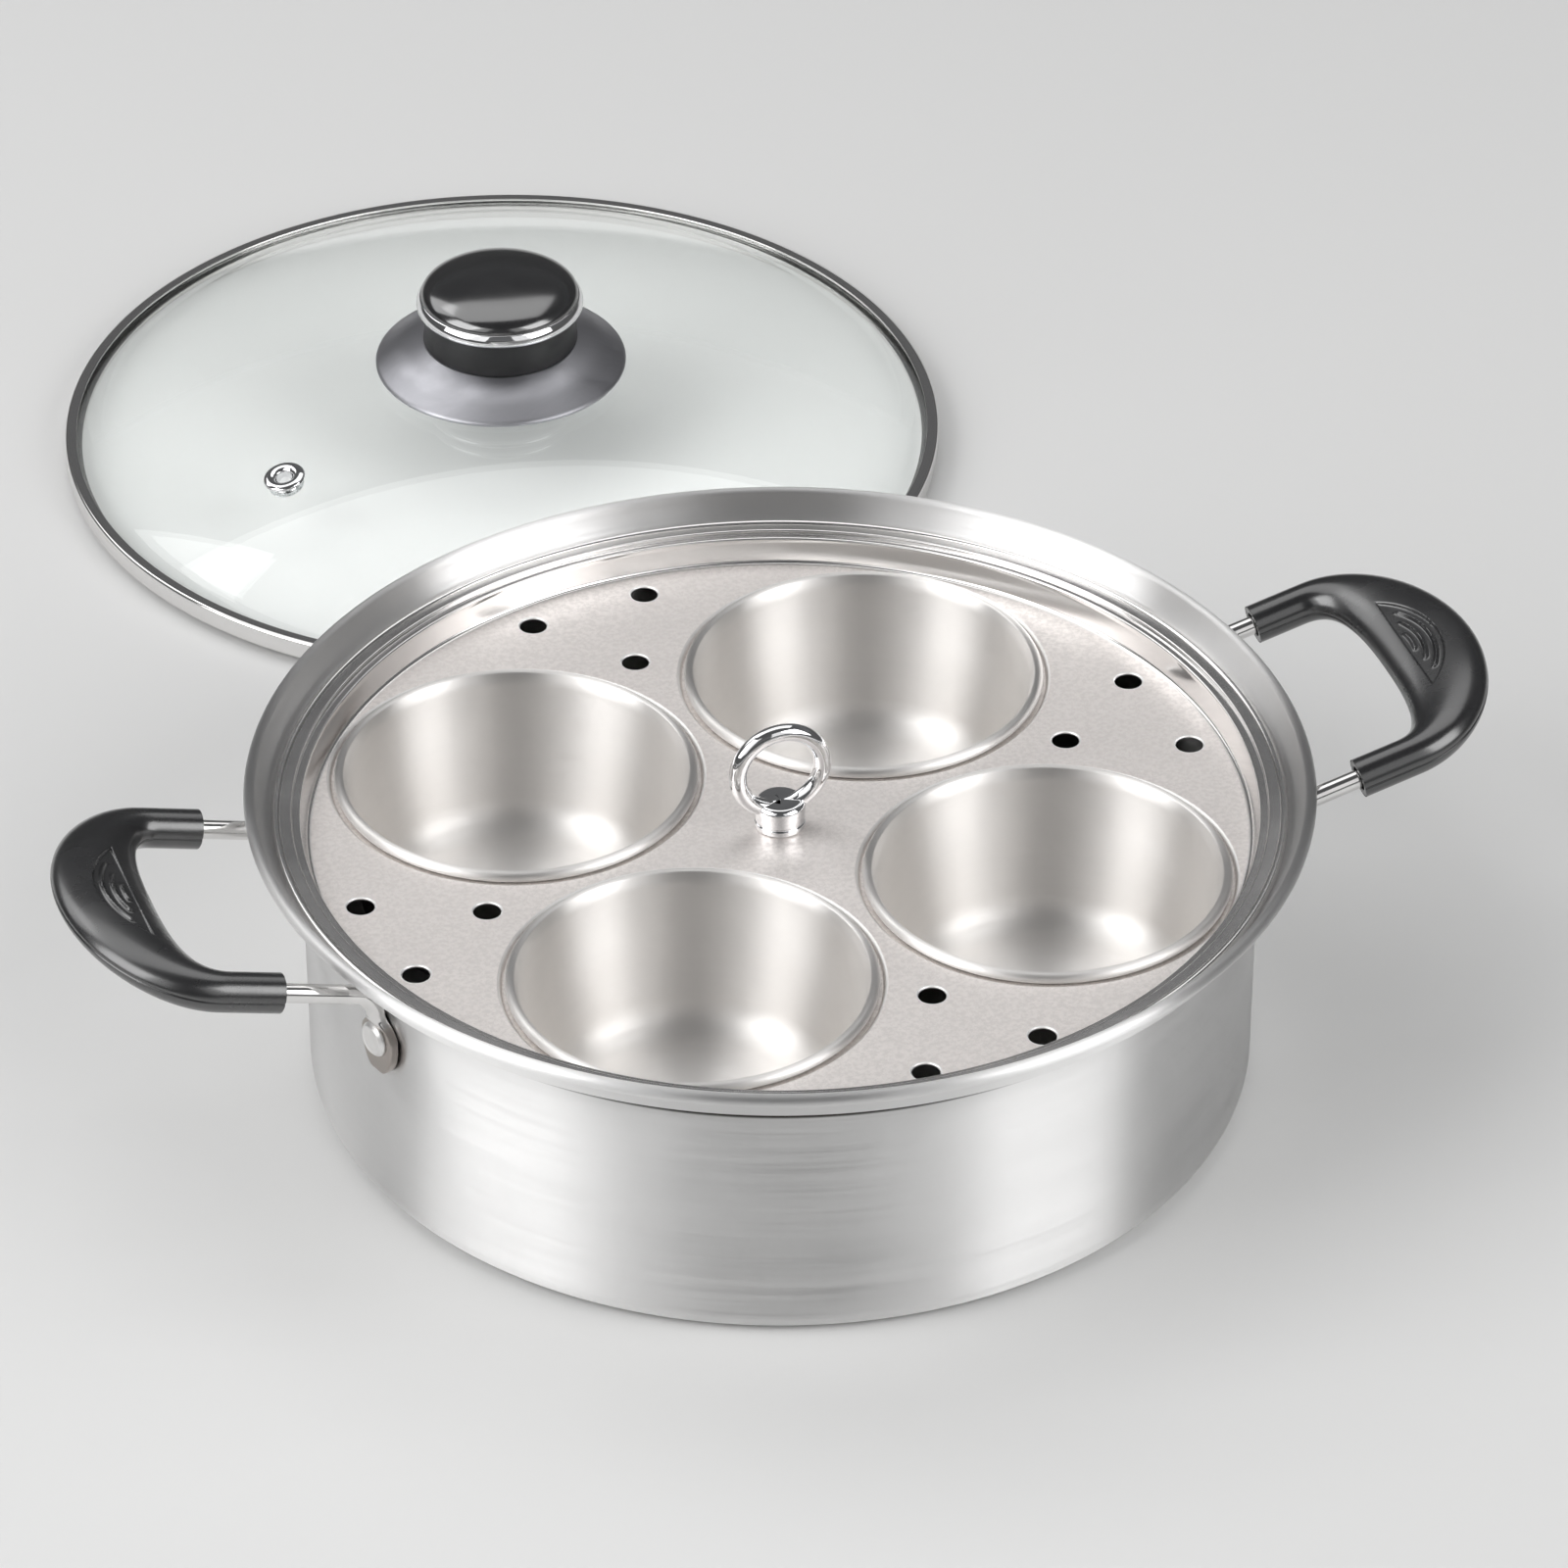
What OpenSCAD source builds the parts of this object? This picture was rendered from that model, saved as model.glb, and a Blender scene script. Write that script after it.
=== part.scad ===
/* [Pot] */
// Outer radius of the straight pot wall at its top
wall_r = 112; // [95:0.5:135]
// Height of the rolled rim above the table
pot_h = 77.4; // [64:0.2:95]
// Thickness of the pot's sheet
pot_t = 0.8; // [0.6:0.1:1.2]
// How much narrower the wall is at the base
wall_taper = 0.6; // [0:0.1:2]
// Radius of the corner between wall and base
base_corner = 5.5; // [3:0.5:9]
// How far the shoulder under the tray ledge reaches out
shoulder_out = 7.8; // [6:0.1:10]
// Height of that shoulder
shoulder_h = 6.5; // [5:0.1:8]
// Height of the rim above the crease under the ledge
collar_h = 8.4; // [7:0.1:11]
// How much the collar leans out
collar_lean = 1.8; // [0.5:0.1:3]
// How far the collar's upright part stops below the rim
lip_drop = 3.8; // [3:0.1:5]
// How far the lip flares out past the collar
lip_out = 3.4; // [2.5:0.1:5]
// Radius of the rolled bead on the rim
bead_r = 1.5; // [1:0.1:2]

/* [Handles] */
// Half the distance between the two rods of a handle
rod_half_gap = 34.1; // [26:0.1:42]
// Diameter of the handle rod
rod_d = 4.5; // [3.5:0.1:5.5]
// Slope of the handle, rising away from the pot
handle_slope = 14.5; // [0:0.5:25]
// Drop from the crease to where the rod would meet its leg
elbow_drop = 4.9; // [4.5:0.1:8]
// Bend radius where the rod turns down
elbow_bend = 7; // [5:0.5:9]
// Bend radius of the rod inside the grip
grip_bend = 13; // [8:0.5:14]
// Distance from the elbow to the rod's crossing inside the grip
rod_reach = 53; // [50:0.5:58]
// Width of the flattened tab
tab_w = 12; // [9:0.5:14]
// Thickness of the flattened tab
tab_t = 2.6; // [2:0.1:3]
// Drop from the elbow to the rivet
rivet_drop = 12.2; // [11:0.1:16]
// Drop from the rivet to the tab's lower tip
tab_tip = 9.4; // [8:0.1:12]
// Radius of the tab's narrow lower tip
tip_r = 2.6; // [2:0.1:3]
// Gap between the pot wall and the tab
tab_gap = 0.1; // [0.05:0.05:0.3]
// Shank diameter of a handle rivet
rivet_d = 5; // [4:0.1:6]
// Head diameter of a handle rivet
rivet_head_d = 8.6; // [7:0.1:10]
// Height of a rivet's outer head
rivet_head_h = 1.5; // [1:0.1:2]
// Height of a rivet's inner head
rivet_inner_h = 1.2; // [0.8:0.1:2]

/* [Grips] */
// Distance from the elbow to the end faces of the grip
grip_start = 23.2; // [20:0.2:28]
// Distance from the elbow to the grip's outermost point
grip_reach = 66.7; // [64:0.1:72]
// Distance from the elbow to the middle of the grip's inner edge
grip_inner = 43.9; // [41:0.1:46]
// Diameter of the grip's arms
arm_d = 9.4; // [8.5:0.1:11]
// Thickness of the grip at its middle
grip_thick = 10; // [9:0.1:12]
// Where the arms' outer sides begin to curve in
outer_curve = 38; // [34:0.5:42]
// Where the arms' inner sides begin to curve in
inner_curve = 34; // [30:0.5:36]
// Squareness of the inner edge's corners
inner_square = 2.6; // [2:0.1:4]
// Depth of the lens-shaped recess in the upper shell
recess_depth = 0.9; // [0.4:0.1:1.4]
// Half length of the recess
recess_half = 18; // [12:0.5:22]
// Distance from the recess's straight side to the grip's outer edge
recess_in = 16.8; // [14:0.1:18]
// Height of the recess's curved side over its straight side
recess_bulge = 8.6; // [5:0.1:10]
// Clearance round the rod inside the grip
rod_clear = 0.15; // [0.1:0.05:0.3]
// Distance between the two screws of a grip
grip_screw_gap = 26; // [20:0.5:30]
// Distance from the screws to the grip's outer edge
grip_screw_in = 5.8; // [5.5:0.1:7]
// Shank diameter of a grip screw
grip_screw_d = 2.5; // [2:0.1:3]
// Head diameter of a grip screw
grip_screw_head = 4.6; // [4:0.1:5]

/* [Tray] */
// Thickness of the tray's sheet
tray_t = 0.8; // [0.6:0.1:1]
// Gap between the tray's edge and the pot's collar
tray_gap = 1; // [0.5:0.1:2]
// Radius of the hem rolled round the tray's edge
hem_r = 1.1; // [0.9:0.1:1.3]
// Clearance between the hem and the ledge it rests on
seat_clear = 0.3; // [0.2:0.05:0.5]
// Width of the tray's flat flange inside its hem
flange_w = 3.6; // [3:0.1:5]
// Height of the step that takes the lid's edge
lid_step = 1.0; // [0.8:0.1:1.4]
// Width of the ledge that the lid sits on
lid_ledge = 2.1; // [1.8:0.1:3]
// Depth of the plate below the lid ledge
plate_drop = 6.2; // [5:0.1:8]
// How far the tray's upright wall leans in
tray_wall_lean = 1.1; // [0.8:0.1:2]
// Radius of the bend between the upright wall and the plate
plate_corner = 1; // [0.9:0.1:1.5]
// Turn of the tray against the handles
tray_turn = 8.3; // [-90:0.1:90]
// Web of plate between two neighbouring cup seats
seat_web = 3.7; // [2:0.1:8]
// Margin between a cup seat and the edge of the plate
seat_margin = 0.3; // [0.2:0.1:2]
// Depth of the dished seat round each cup
seat_depth = 1.2; // [0.8:0.1:1.6]
// Diameter of a steam hole
steam_d = 6.5; // [4:0.1:8]
// Distance of the inner steam hole of a group from the plate's edge
steam_inner_edge = 33.8; // [30:0.2:38]
// Distance of the two outer steam holes from the plate's edge
steam_edge = 7.5; // [6:0.1:9]
// Angle between the inner hole and an outer one
steam_spread = 8.4; // [6:0.1:10]

/* [Lift ring] */
// Outer diameter of the lift ring
ring_d = 25; // [22:0.5:28]
// Thickness of the ring's bar
ring_bar = 4.2; // [3.4:0.1:5]
// Height of the ring's centre above the plate
ring_rise = 15.4; // [14:0.1:17]
// Diameter of the boss under the ring
boss_d = 12; // [10:0.1:13]
// Height of that boss
boss_h = 7.2; // [6:0.1:8]
// Turn of the ring against the handles
ring_turn = 0; // [-90:1:90]
// Shank diameter of the screw that holds the ring
ring_screw_d = 3.8; // [3:0.1:4.5]
// Diameter of the washer under the tray
ring_washer_d = 10; // [9:0.1:12]
// Thickness of that washer
ring_washer_t = 0.8; // [0.6:0.1:1.2]

/* [Cups] */
// Depth of a cup inside
cup_depth = 41; // [30:0.5:50]
// Thickness of a cup's sheet
cup_t = 0.7; // [0.5:0.1:0.9]
// Radius of the bead rolled round a cup's edge
cup_bead_r = 1.3; // [1:0.1:1.5]
// Gap between a cup's bead and the rim of its seat
cup_gap = 1.3; // [0.6:0.1:2]
// Clearance between a cup's wall and the hole in the tray
cup_clear = 0.5; // [0.4:0.1:1]
// How much narrower a cup is at its bottom
cup_taper = 2.8; // [1:0.1:6]
// Radius of the bend between a cup's wall and its bottom
cup_corner = 8; // [4:0.5:12]

/* [Lid] */
// Clearance between the lid's edge and the step in the tray
lid_clear = 0.4; // [0.3:0.1:1]
// Space left on the table between the pot's rim and the lid
lid_gap = 34.5; // [10:0.5:80]
// Bearing of the lid from the pot, measured from the handle axis
lid_bearing = 86.5; // [60:0.5:120]
// Height of the steel band
band_h = 5.5; // [5:0.1:7]
// Height of the band above the table
band_rise = 1.6; // [1:0.1:3]
// Thickness of the band's sheet
band_t = 0.6; // [0.4:0.1:0.8]
// Width of the band's top flange
band_top = 3; // [2:0.1:4]
// Width of the band's lower flange
band_low = 5; // [4:0.1:6]
// Height of the glass dome above the band
dome_h = 20.4; // [15:0.2:26]
// Thickness of the glass
glass_t = 4; // [3:0.1:4.2]
// Clearance between the glass edge and the band
glass_clear = 0.3; // [0.2:0.1:0.5]
// Distance of the steam vent from the middle of the lid
vent_r = 70.6; // [55:0.2:85]
// Bearing of the vent on the lid
vent_bearing = 200.8; // [0:0.2:360]
// Flange diameter of the vent's eyelet
eyelet_d = 10.9; // [9:0.1:13]
// Hole diameter of the vent's eyelet
eyelet_hole = 4.4; // [3:0.1:6]
// Wall thickness of the eyelet
eyelet_t = 0.8; // [0.6:0.1:1.2]

/* [Knob] */
// Radius of the knob's flared skirt
skirt_r = 32.4; // [28:0.1:36]
// Height of the skirt from its edge to its top
skirt_h = 7.5; // [6:0.1:9]
// Thickness of the skirt
skirt_t = 1.8; // [1.4:0.1:2.4]
// Gap between the glass and the skirt's edge
skirt_gap = 0.4; // [0.3:0.1:1]
// Radius of the knob's neck
neck_r = 20; // [18:0.1:21]
// Height of the neck
neck_h = 9.2; // [8:0.1:12]
// How far the trim ring stands out past the neck
trim_out = 1.6; // [1:0.1:2]
// Height of the trim ring
trim_h = 3.6; // [3:0.1:4.5]
// Height of the domed cap above the trim ring
cap_h = 5.8; // [4:0.1:8]
// Shank diameter of the knob's screw
knob_screw_d = 5; // [4:0.1:6]
// Diameter of the screw's threaded insert in the neck
insert_d = 9; // [8:0.1:12]
// Diameter of the hub under the skirt, the gaskets and the washer
hub_d = 20; // [16:0.5:24]
// Thickness of a gasket
gasket_t = 1; // [0.6:0.1:2]
// Thickness of the knob's washer
washer_t = 1; // [0.8:0.1:2]

/* [Hidden] */
$fn = 96;

// Overlap that makes a cut run clean through a face
cut = 1;
// Half length of the cut that bores a tab and the wall for a rivet
rivet_bore_reach = 8;
// Clearance round a rivet's shank, and of pieces pressed or threaded together
rivet_clear = 0.1;
fit_clear = 0.05;
// Clearance round a screw's shank or head in a hole that it passes through
screw_clear = 0.2;
// Shell left under a grip screw's head, its bite past the shell, and the room past its tip
grip_web = 1.2;
grip_bite = 2.2;
tip_room = 0.2;
// Height of a grip screw's head
grip_screw_head_h = 1.4;
// Solid metal over the screw's bore in the lift ring's boss, and the boss's top bevel
boss_roof = 1.6;
boss_bevel = 0.6;
// Height of the flare inside a cup's rim
cup_flare_h = 2.4;
// Rounding of the band's outer edges
band_edge = 0.9;
// Gap between the eyelet and the glass, and the height of its flanges
eyelet_gap = 0.15;
eyelet_flange_h = 1.1;
// Clearance round the screw in the glass
glass_hole_clear = 0.5;
// How far the trim ring reaches into the neck, and the cap stands back from the ring
trim_in = 3;
cap_in = 1.2;
// Peg of the knob's cap
peg_r = 3;
peg_h = 2.8;
// Number of straight steps in a quarter of a profile's arc
arc_steps = 8;
corner_steps = 4;

// Heights of the pot, from the table up
crease_z = pot_h - collar_h;
shoulder_z = crease_z - shoulder_h;
lip_z = pot_h - lip_drop;
// Radii of the pot's collar and rim
crease_r = wall_r + shoulder_out;
collar_r = crease_r + collar_lean;
rim_r = collar_r + lip_out;
base_r = wall_r - wall_taper;

// Height of the sheet's top face on the ledge, where the tray's hem rests
function shoulder_top_z(r) =
  shoulder_z + shoulder_h * sqrt(1 - pow((crease_r - r) / shoulder_out, 2)) + pot_t;
// Inner radius of the leaning collar at a given height
function collar_inner_r(z) =
  crease_r - pot_t + collar_lean * (z - crease_z) / (lip_z - crease_z);

// Tray radii from the outside in, and heights from the hem down
hem_z = shoulder_top_z(crease_r - pot_t - tray_gap - hem_r) + seat_clear + hem_r;
tray_r = collar_inner_r(hem_z) - tray_gap;
flange_r = tray_r - 2 * hem_r;
step_r = flange_r - flange_w + hem_r;
ledge_r = step_r - lid_ledge;
flange_z = hem_z + hem_r / 2;
ledge_z = flange_z - lid_step;
plate_z = ledge_z - plate_drop;
plate_r = ledge_r - tray_wall_lean - plate_corner;

// Four equal seats fill the plate: each touches the margin and leaves the web
seat_r = (sqrt(2) * (plate_r - seat_margin) - seat_web) / (2 + sqrt(2));
seat_ring_r = plate_r - seat_margin - seat_r;
seat_floor_z = plate_z - seat_depth;
seat_slope = 0.5;
seat_floor_r = seat_r - seat_depth * seat_slope;
cup_rim_r = seat_r - cup_gap;
cup_wall_r = cup_rim_r - 2 * cup_bead_r;
cup_hole_r = cup_wall_r + cup_clear;
cup_bead_z = seat_floor_z + seat_clear + cup_bead_r;
cup_top_z = cup_bead_z + cup_bead_r;
cup_floor_z = cup_top_z - cup_depth;
steam_inner_r = plate_r - steam_inner_edge;
steam_outer_r = plate_r - steam_edge;

// Handle: the leg stands against the wall, in the frame of the handle axis
leg_r = wall_r + tab_gap + rod_d / 2;
leg_x = sqrt(leg_r * leg_r - rod_half_gap * rod_half_gap);
leg_turn = asin(rod_half_gap / leg_r);
elbow_z = crease_z - elbow_drop;
elbow_turn = 90 - handle_slope;
elbow_tangent = elbow_bend * tan(elbow_turn / 2);
leg_top_z = elbow_z - elbow_tangent;
rivet_z = elbow_z - rivet_drop;
tab_r = wall_r + tab_gap + tab_t / 2;
tab_top_z = rivet_z + rivet_head_d / 2 + 0.3;
rivet_hole_d = rivet_d + 2 * rivet_clear;
grip_screw_u = grip_reach - grip_screw_in;

// Grip: an outer and an inner edge, and an oval section spanned between them
arm_out = rod_half_gap + arm_d / 2;
arm_in = rod_half_gap - arm_d / 2;
function outer_edge(a) =
  [outer_curve + (grip_reach - outer_curve) * sin(a), arm_out * cos(a)];
function inner_edge(a) =
  [inner_curve + (grip_inner - inner_curve) * pow(max(sin(a), 0), 2 / inner_square),
   arm_in * pow(max(cos(a), 0), 2 / inner_square)];
// A station is its outer point, its inner point and its half thickness
function arm_station(k) =
  let (u_out = grip_start + k * (outer_curve - grip_start),
       u_in = grip_start + k * (inner_curve - grip_start))
  [[u_out, arm_out], [u_in, arm_in], arm_d / 2];
function curve_station(a) =
  [outer_edge(a), inner_edge(a), arm_d / 2 + (grip_thick - arm_d) / 2 * sin(a)];
function mirrored(s) = [[s[0][0], -s[0][1]], [s[1][0], -s[1][1]], s[2]];
curve_angles = [0, 3, 8, 16, 25, 35, 46, 57, 68, 79];
half_stations = concat([for (k = [0, 1 / 3, 2 / 3]) arm_station(k)],
                       [for (a = curve_angles) curve_station(a)]);
stations = concat(half_stations, [curve_station(90)],
                  [for (i = [len(half_stations) - 1:-1:0]) mirrored(half_stations[i])]);
section_steps = 10;
// Sides of the rod's rings
rod_sides = 16;

// Lid: it lies on the table beside the pot, its steel skirt down
lid_r = step_r - lid_clear;
lid_distance = rim_r + lid_gap + lid_r;
lid_x = lid_distance * cos(lid_bearing);
lid_y = lid_distance * sin(lid_bearing);
band_top_z = band_rise + band_h;
glass_edge_z = band_top_z - band_t;
glass_r = lid_r - band_t - glass_clear;
glass_bend_r = glass_r - band_top - glass_clear;
band_skirt_r = lid_r - band_low;
dome_sphere_r = (glass_bend_r * glass_bend_r + dome_h * dome_h) / (2 * dome_h);
dome_base_angle = asin(glass_bend_r / dome_sphere_r);
apex_z = glass_edge_z + dome_h;
dome_centre_z = apex_z - dome_sphere_r;
// Height of the dome's outer face at a distance from its middle
function dome_z(r) = dome_centre_z + sqrt(dome_sphere_r * dome_sphere_r - r * r);

// Knob: heights from the glass up, and down from the glass inside
gasket_top_z = apex_z + gasket_t;
skirt_edge_z = dome_z(skirt_r) + skirt_gap;
skirt_top_z = skirt_edge_z + skirt_h;
neck_top_z = skirt_top_z + neck_h;
trim_top_z = neck_top_z + trim_h;
trim_r = neck_r + trim_out;
cap_r = trim_r - cap_in;
spigot_r = neck_r - trim_in;
low_hub_r = hub_d / 2 - 1;
inner_sphere_r = dome_sphere_r - glass_t;
low_glass_z = dome_centre_z + sqrt(inner_sphere_r * inner_sphere_r - low_hub_r * low_hub_r);
low_gasket_z = low_glass_z - fit_clear - gasket_t;
washer_z = low_gasket_z - washer_t;
knob_hole_d = knob_screw_d + 1;
insert_top_z = neck_top_z - 2;

// Points of a circular arc, from one angle to another
function arc(cx, cy, r, a0, a1, steps) =
  [for (i = [0:steps]) let (a = a0 + (a1 - a0) * i / steps) [cx + r * cos(a), cy + r * sin(a)]];

// Points of the shoulder's quarter oval, moved sideways by the sheet's thickness
function shoulder(inset) =
  [for (i = [0:arc_steps]) let (a = 90 * i / arc_steps)
     [crease_r - (shoulder_out + inset) * cos(a),
      shoulder_z + (shoulder_h + inset) * sin(a)]];

function reversed(points) = [for (i = [len(points) - 1:-1:0]) points[i]];

module ring_of(profile) {
  rotate_extrude() polygon(profile);
}

// Places its children on the handle plane: X away from the pot, Y across, Z up
module on_handle(side) {
  rotate([0, 0, side > 0 ? 0 : 180])
    translate([leg_x, 0, elbow_z])
      rotate([0, -handle_slope, 0])
        children();
}

// Places its children at a rivet, with Z pointing away from the pot's axis
module at_rivet(side, end) {
  rotate([0, 0, (side > 0 ? 0 : 180) + end * leg_turn])
    translate([0, 0, rivet_z])
      rotate([0, 90, 0])
        children();
}

// Bores through both tabs of a handle and the wall behind them
module rivet_bores(side) {
  for (end = [1, -1])
    at_rivet(side, end)
      translate([0, 0, wall_r - rivet_bore_reach])
        cylinder(d = rivet_hole_d, h = 2 * rivet_bore_reach);
}

// Crossed slots cut up into a screw head whose face lies at height 0
module cross_slots(reach, width, depth) {
  for (turn = [0, 90])
    rotate([0, 0, turn])
      translate([-reach, -width / 2, -cut]) cube([2 * reach, width, cut + depth]);
}

// Pan head screw, head down: its shank starts at height 0 and points up
module pan_screw(d, length) {
  head_h = 0.6 * d;
  head_d = 1.9 * d;
  translate([0, 0, -head_h])
    difference() {
      union() {
        cylinder(d1 = 0.8 * head_d, d2 = head_d, h = head_h);
        translate([0, 0, head_h]) cylinder(d = d, h = length);
      }
      cross_slots(0.52 * d, 0.2 * d, head_h / 2);
    }
}

// Flat bottom with its rounded corner, up to the foot of the wall
module pot_base() {
  color("silver")
    rotate_extrude()
      polygon(concat(
        [[0, 0]],
        arc(base_r - base_corner, base_corner, base_corner, -90, 0, arc_steps),
        arc(base_r - base_corner, base_corner, base_corner - pot_t, 0, -90, arc_steps),
        [[0, pot_t]]));
}

// Slightly tapering wall, from the base's corner to the foot of the shoulder
module pot_wall() {
  color("silver")
    difference() {
      rotate_extrude()
        polygon([
          [base_r, base_corner], shoulder(0)[0],
          shoulder(pot_t)[0], [base_r - pot_t, base_corner]]);
      for (side = [1, -1]) rivet_bores(side);
    }
}

// Shoulder that carries the tray, leaning collar and rolled bead
module pot_rim() {
  bead_cx = rim_r - bead_r;
  bead_cz = pot_h - bead_r;
  outside = concat(
    shoulder(0),
    [[collar_r, lip_z]],
    [[bead_cx - bead_r * 0.2, bead_cz - bead_r * 0.6]]);
  inside = concat(
    [[bead_cx, bead_cz + bead_r * 0.9], [collar_r + bead_r * 0.6, lip_z + bead_r * 1.2]],
    [[collar_r - pot_t, lip_z]],
    [[crease_r - pot_t + 0.3, crease_z + pot_t + 0.2]],
    reversed(shoulder(pot_t)));
  color("silver")
    rotate_extrude() {
      polygon(concat(outside, inside));
      translate([bead_cx, bead_cz]) circle(bead_r);
    }
}

// A closed skin over rings of equally many points, with flat ends
module skin(rings, flip) {
  n = len(rings[0]);
  m = len(rings);
  function quad(i, j) =
    let (a = i * n + j, b = i * n + (j + 1) % n, c = (i + 1) * n + (j + 1) % n, d = (i + 1) * n + j)
    flip ? [[a, c, b], [a, d, c]] : [[a, b, c], [a, c, d]];
  first = [for (j = [0:n - 1]) j];
  last = [for (j = [0:n - 1]) (m - 1) * n + j];
  polyhedron(
    points = [for (ring = rings) each ring],
    faces = concat(
      [for (i = [0:m - 2]) for (j = [0:n - 1]) each quad(i, j)],
      [flip ? first : reversed(first), flip ? reversed(last) : last]));
}

// The rod's course on the handle plane, as a cutter: two arms, two bends, the crossing
module rod_channel(d) {
  bend_x = rod_reach - grip_bend;
  bend_y = rod_half_gap - grip_bend;
  for (end = [1, -1]) {
    translate([0, end * rod_half_gap, 0]) rotate([0, 90, 0]) cylinder(d = d, h = bend_x);
    translate([bend_x, end * bend_y, 0])
      rotate([0, 0, end > 0 ? 0 : -90])
        rotate_extrude(angle = 90) translate([grip_bend, 0]) circle(d = d);
  }
  translate([rod_reach, -bend_y, 0]) rotate([-90, 0, 0]) cylinder(d = d, h = 2 * bend_y);
}

// A ring of the rod: centre, width axis, thickness axis, half width, half thickness
// and squareness (1 is round, less is squarer)
function rod_ring(c, wide, thick, half_w, half_t, square) =
  [for (j = [0:rod_sides - 1])
     let (a = 360 * (j + 0.5) / rod_sides,
          x = half_w * sign(cos(a)) * pow(abs(cos(a)), square),
          y = half_t * sign(sin(a)) * pow(abs(sin(a)), square))
     c + x * wide + y * thick];

// Rings of the tab, from its lower tip up to the round leg
function tab_ring(z, half_w, square) =
  rod_ring([tab_r * cos(leg_turn), tab_r * sin(leg_turn), z],
           [-sin(leg_turn), cos(leg_turn), 0], [cos(leg_turn), sin(leg_turn), 0],
           half_w, tab_t / 2, square);
function tab_rings() =
  [tab_ring(rivet_z - tab_tip, tip_r * 0.6, 0.5), tab_ring(rivet_z - tab_tip + 0.8, tip_r, 0.5),
   tab_ring(rivet_z - tab_w / 3, tab_w * 0.44, 0.4), tab_ring(rivet_z - tab_w / 8, tab_w / 2, 0.35),
   tab_ring(rivet_z + tab_w / 8, tab_w / 2, 0.35), tab_ring(tab_top_z, tab_w * 0.4, 0.45)];

// Rings of the elbow, from the upright leg over to the sloping arm
function elbow_ring(a) =
  rod_ring([leg_x + elbow_bend * (1 - cos(a)), rod_half_gap, leg_top_z + elbow_bend * sin(a)],
           [0, 1, 0], [cos(a), 0, -sin(a)], rod_d / 2, rod_d / 2, 1);
function elbow_rings() = [for (i = [0:5]) elbow_ring(elbow_turn * i / 5)];

// Rings of the bend inside the grip, on the sloping handle plane
function on_slope(u, y) =
  [leg_x + u * cos(handle_slope), y, elbow_z + u * sin(handle_slope)];
function grip_bend_ring(b) =
  rod_ring(on_slope(rod_reach - grip_bend * (1 - sin(b)), rod_half_gap - grip_bend * (1 - cos(b))),
           [sin(b) * cos(handle_slope), cos(b), sin(b) * sin(handle_slope)],
           [sin(handle_slope), 0, -cos(handle_slope)], rod_d / 2, rod_d / 2, 1);
function grip_bend_rings() = [for (i = [0:6]) grip_bend_ring(90 * i / 6)];

// The bent rod: it rises from one tab, runs through the grip and comes back to the other
module handle_rod(side) {
  half = concat(tab_rings(), elbow_rings(), grip_bend_rings());
  other_half = [for (i = [len(half) - 1:-1:0]) [for (p = half[i]) [p[0], -p[1], p[2]]]];
  color("gainsboro")
    difference() {
      rotate([0, 0, side > 0 ? 0 : 180]) skin(concat(half, other_half), true);
      rivet_bores(side);
    }
}

// Flat head with a bevelled edge outside, shank through tab and wall, low head inside
module handle_rivets(side) {
  outer_face = wall_r + tab_gap + tab_t;
  inner_face = wall_r - wall_taper - pot_t;
  bevel = rivet_head_h * 0.6;
  color("whitesmoke")
    for (end = [1, -1])
      at_rivet(side, end) {
        translate([0, 0, inner_face - rivet_inner_h])
          cylinder(d1 = rivet_head_d * 0.7, d2 = rivet_head_d, h = rivet_inner_h);
        translate([0, 0, inner_face]) cylinder(d = rivet_d, h = outer_face - inner_face);
        translate([0, 0, outer_face]) cylinder(d = rivet_head_d, h = rivet_head_h - bevel);
        translate([0, 0, outer_face + rivet_head_h - bevel])
          cylinder(d1 = rivet_head_d, d2 = rivet_head_d - 2 * bevel, h = bevel);
      }
}

// Point of a grip's section: half turns from the outer edge (0) to the inner one (180)
function section_point(s, a, up) =
  let (c = (s[0] + s[1]) / 2, h = (s[0] - s[1]) / 2)
  [c[0] + h[0] * cos(a), c[1] + h[1] * cos(a), up * s[2] * sin(a)];

// Half of the grip above or below its parting plane, as one closed skin
module grip_half(up) {
  skin([for (s = stations)
          [for (i = [0:section_steps]) section_point(s, 180 * i / section_steps, up)]], up < 0);
}

// The recess's outline: a straight side and a curved side over it
module recess_outline() {
  r = (recess_half * recess_half + recess_bulge * recess_bulge) / (2 * recess_bulge);
  half_angle = asin(recess_half / r);
  polygon(arc(recess_bulge - r, 0, r, -half_angle, half_angle, 2 * arc_steps));
}

module grip_upper(side) {
  color("#151517")
    on_handle(side)
      difference() {
        grip_half(1);
        rod_channel(rod_d + 2 * rod_clear);
        translate([grip_reach - recess_in, 0, grip_thick / 2 - recess_depth])
          linear_extrude(grip_thick) recess_outline();
        for (end = [1, -1])
          translate([grip_screw_u, end * grip_screw_gap / 2, -cut])
            cylinder(d = grip_screw_d + 2 * fit_clear, h = cut + grip_bite + tip_room);
      }
}

module grip_lower(side) {
  color("#1d1d20")
    on_handle(side)
      difference() {
        grip_half(-1);
        rod_channel(rod_d + 2 * rod_clear);
        for (end = [1, -1])
          translate([grip_screw_u, end * grip_screw_gap / 2, -grip_thick]) {
            cylinder(d = grip_screw_d + 2 * screw_clear, h = grip_thick + cut);
            cylinder(d = grip_screw_head + 2 * screw_clear, h = grip_thick - grip_web);
          }
      }
}

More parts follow.
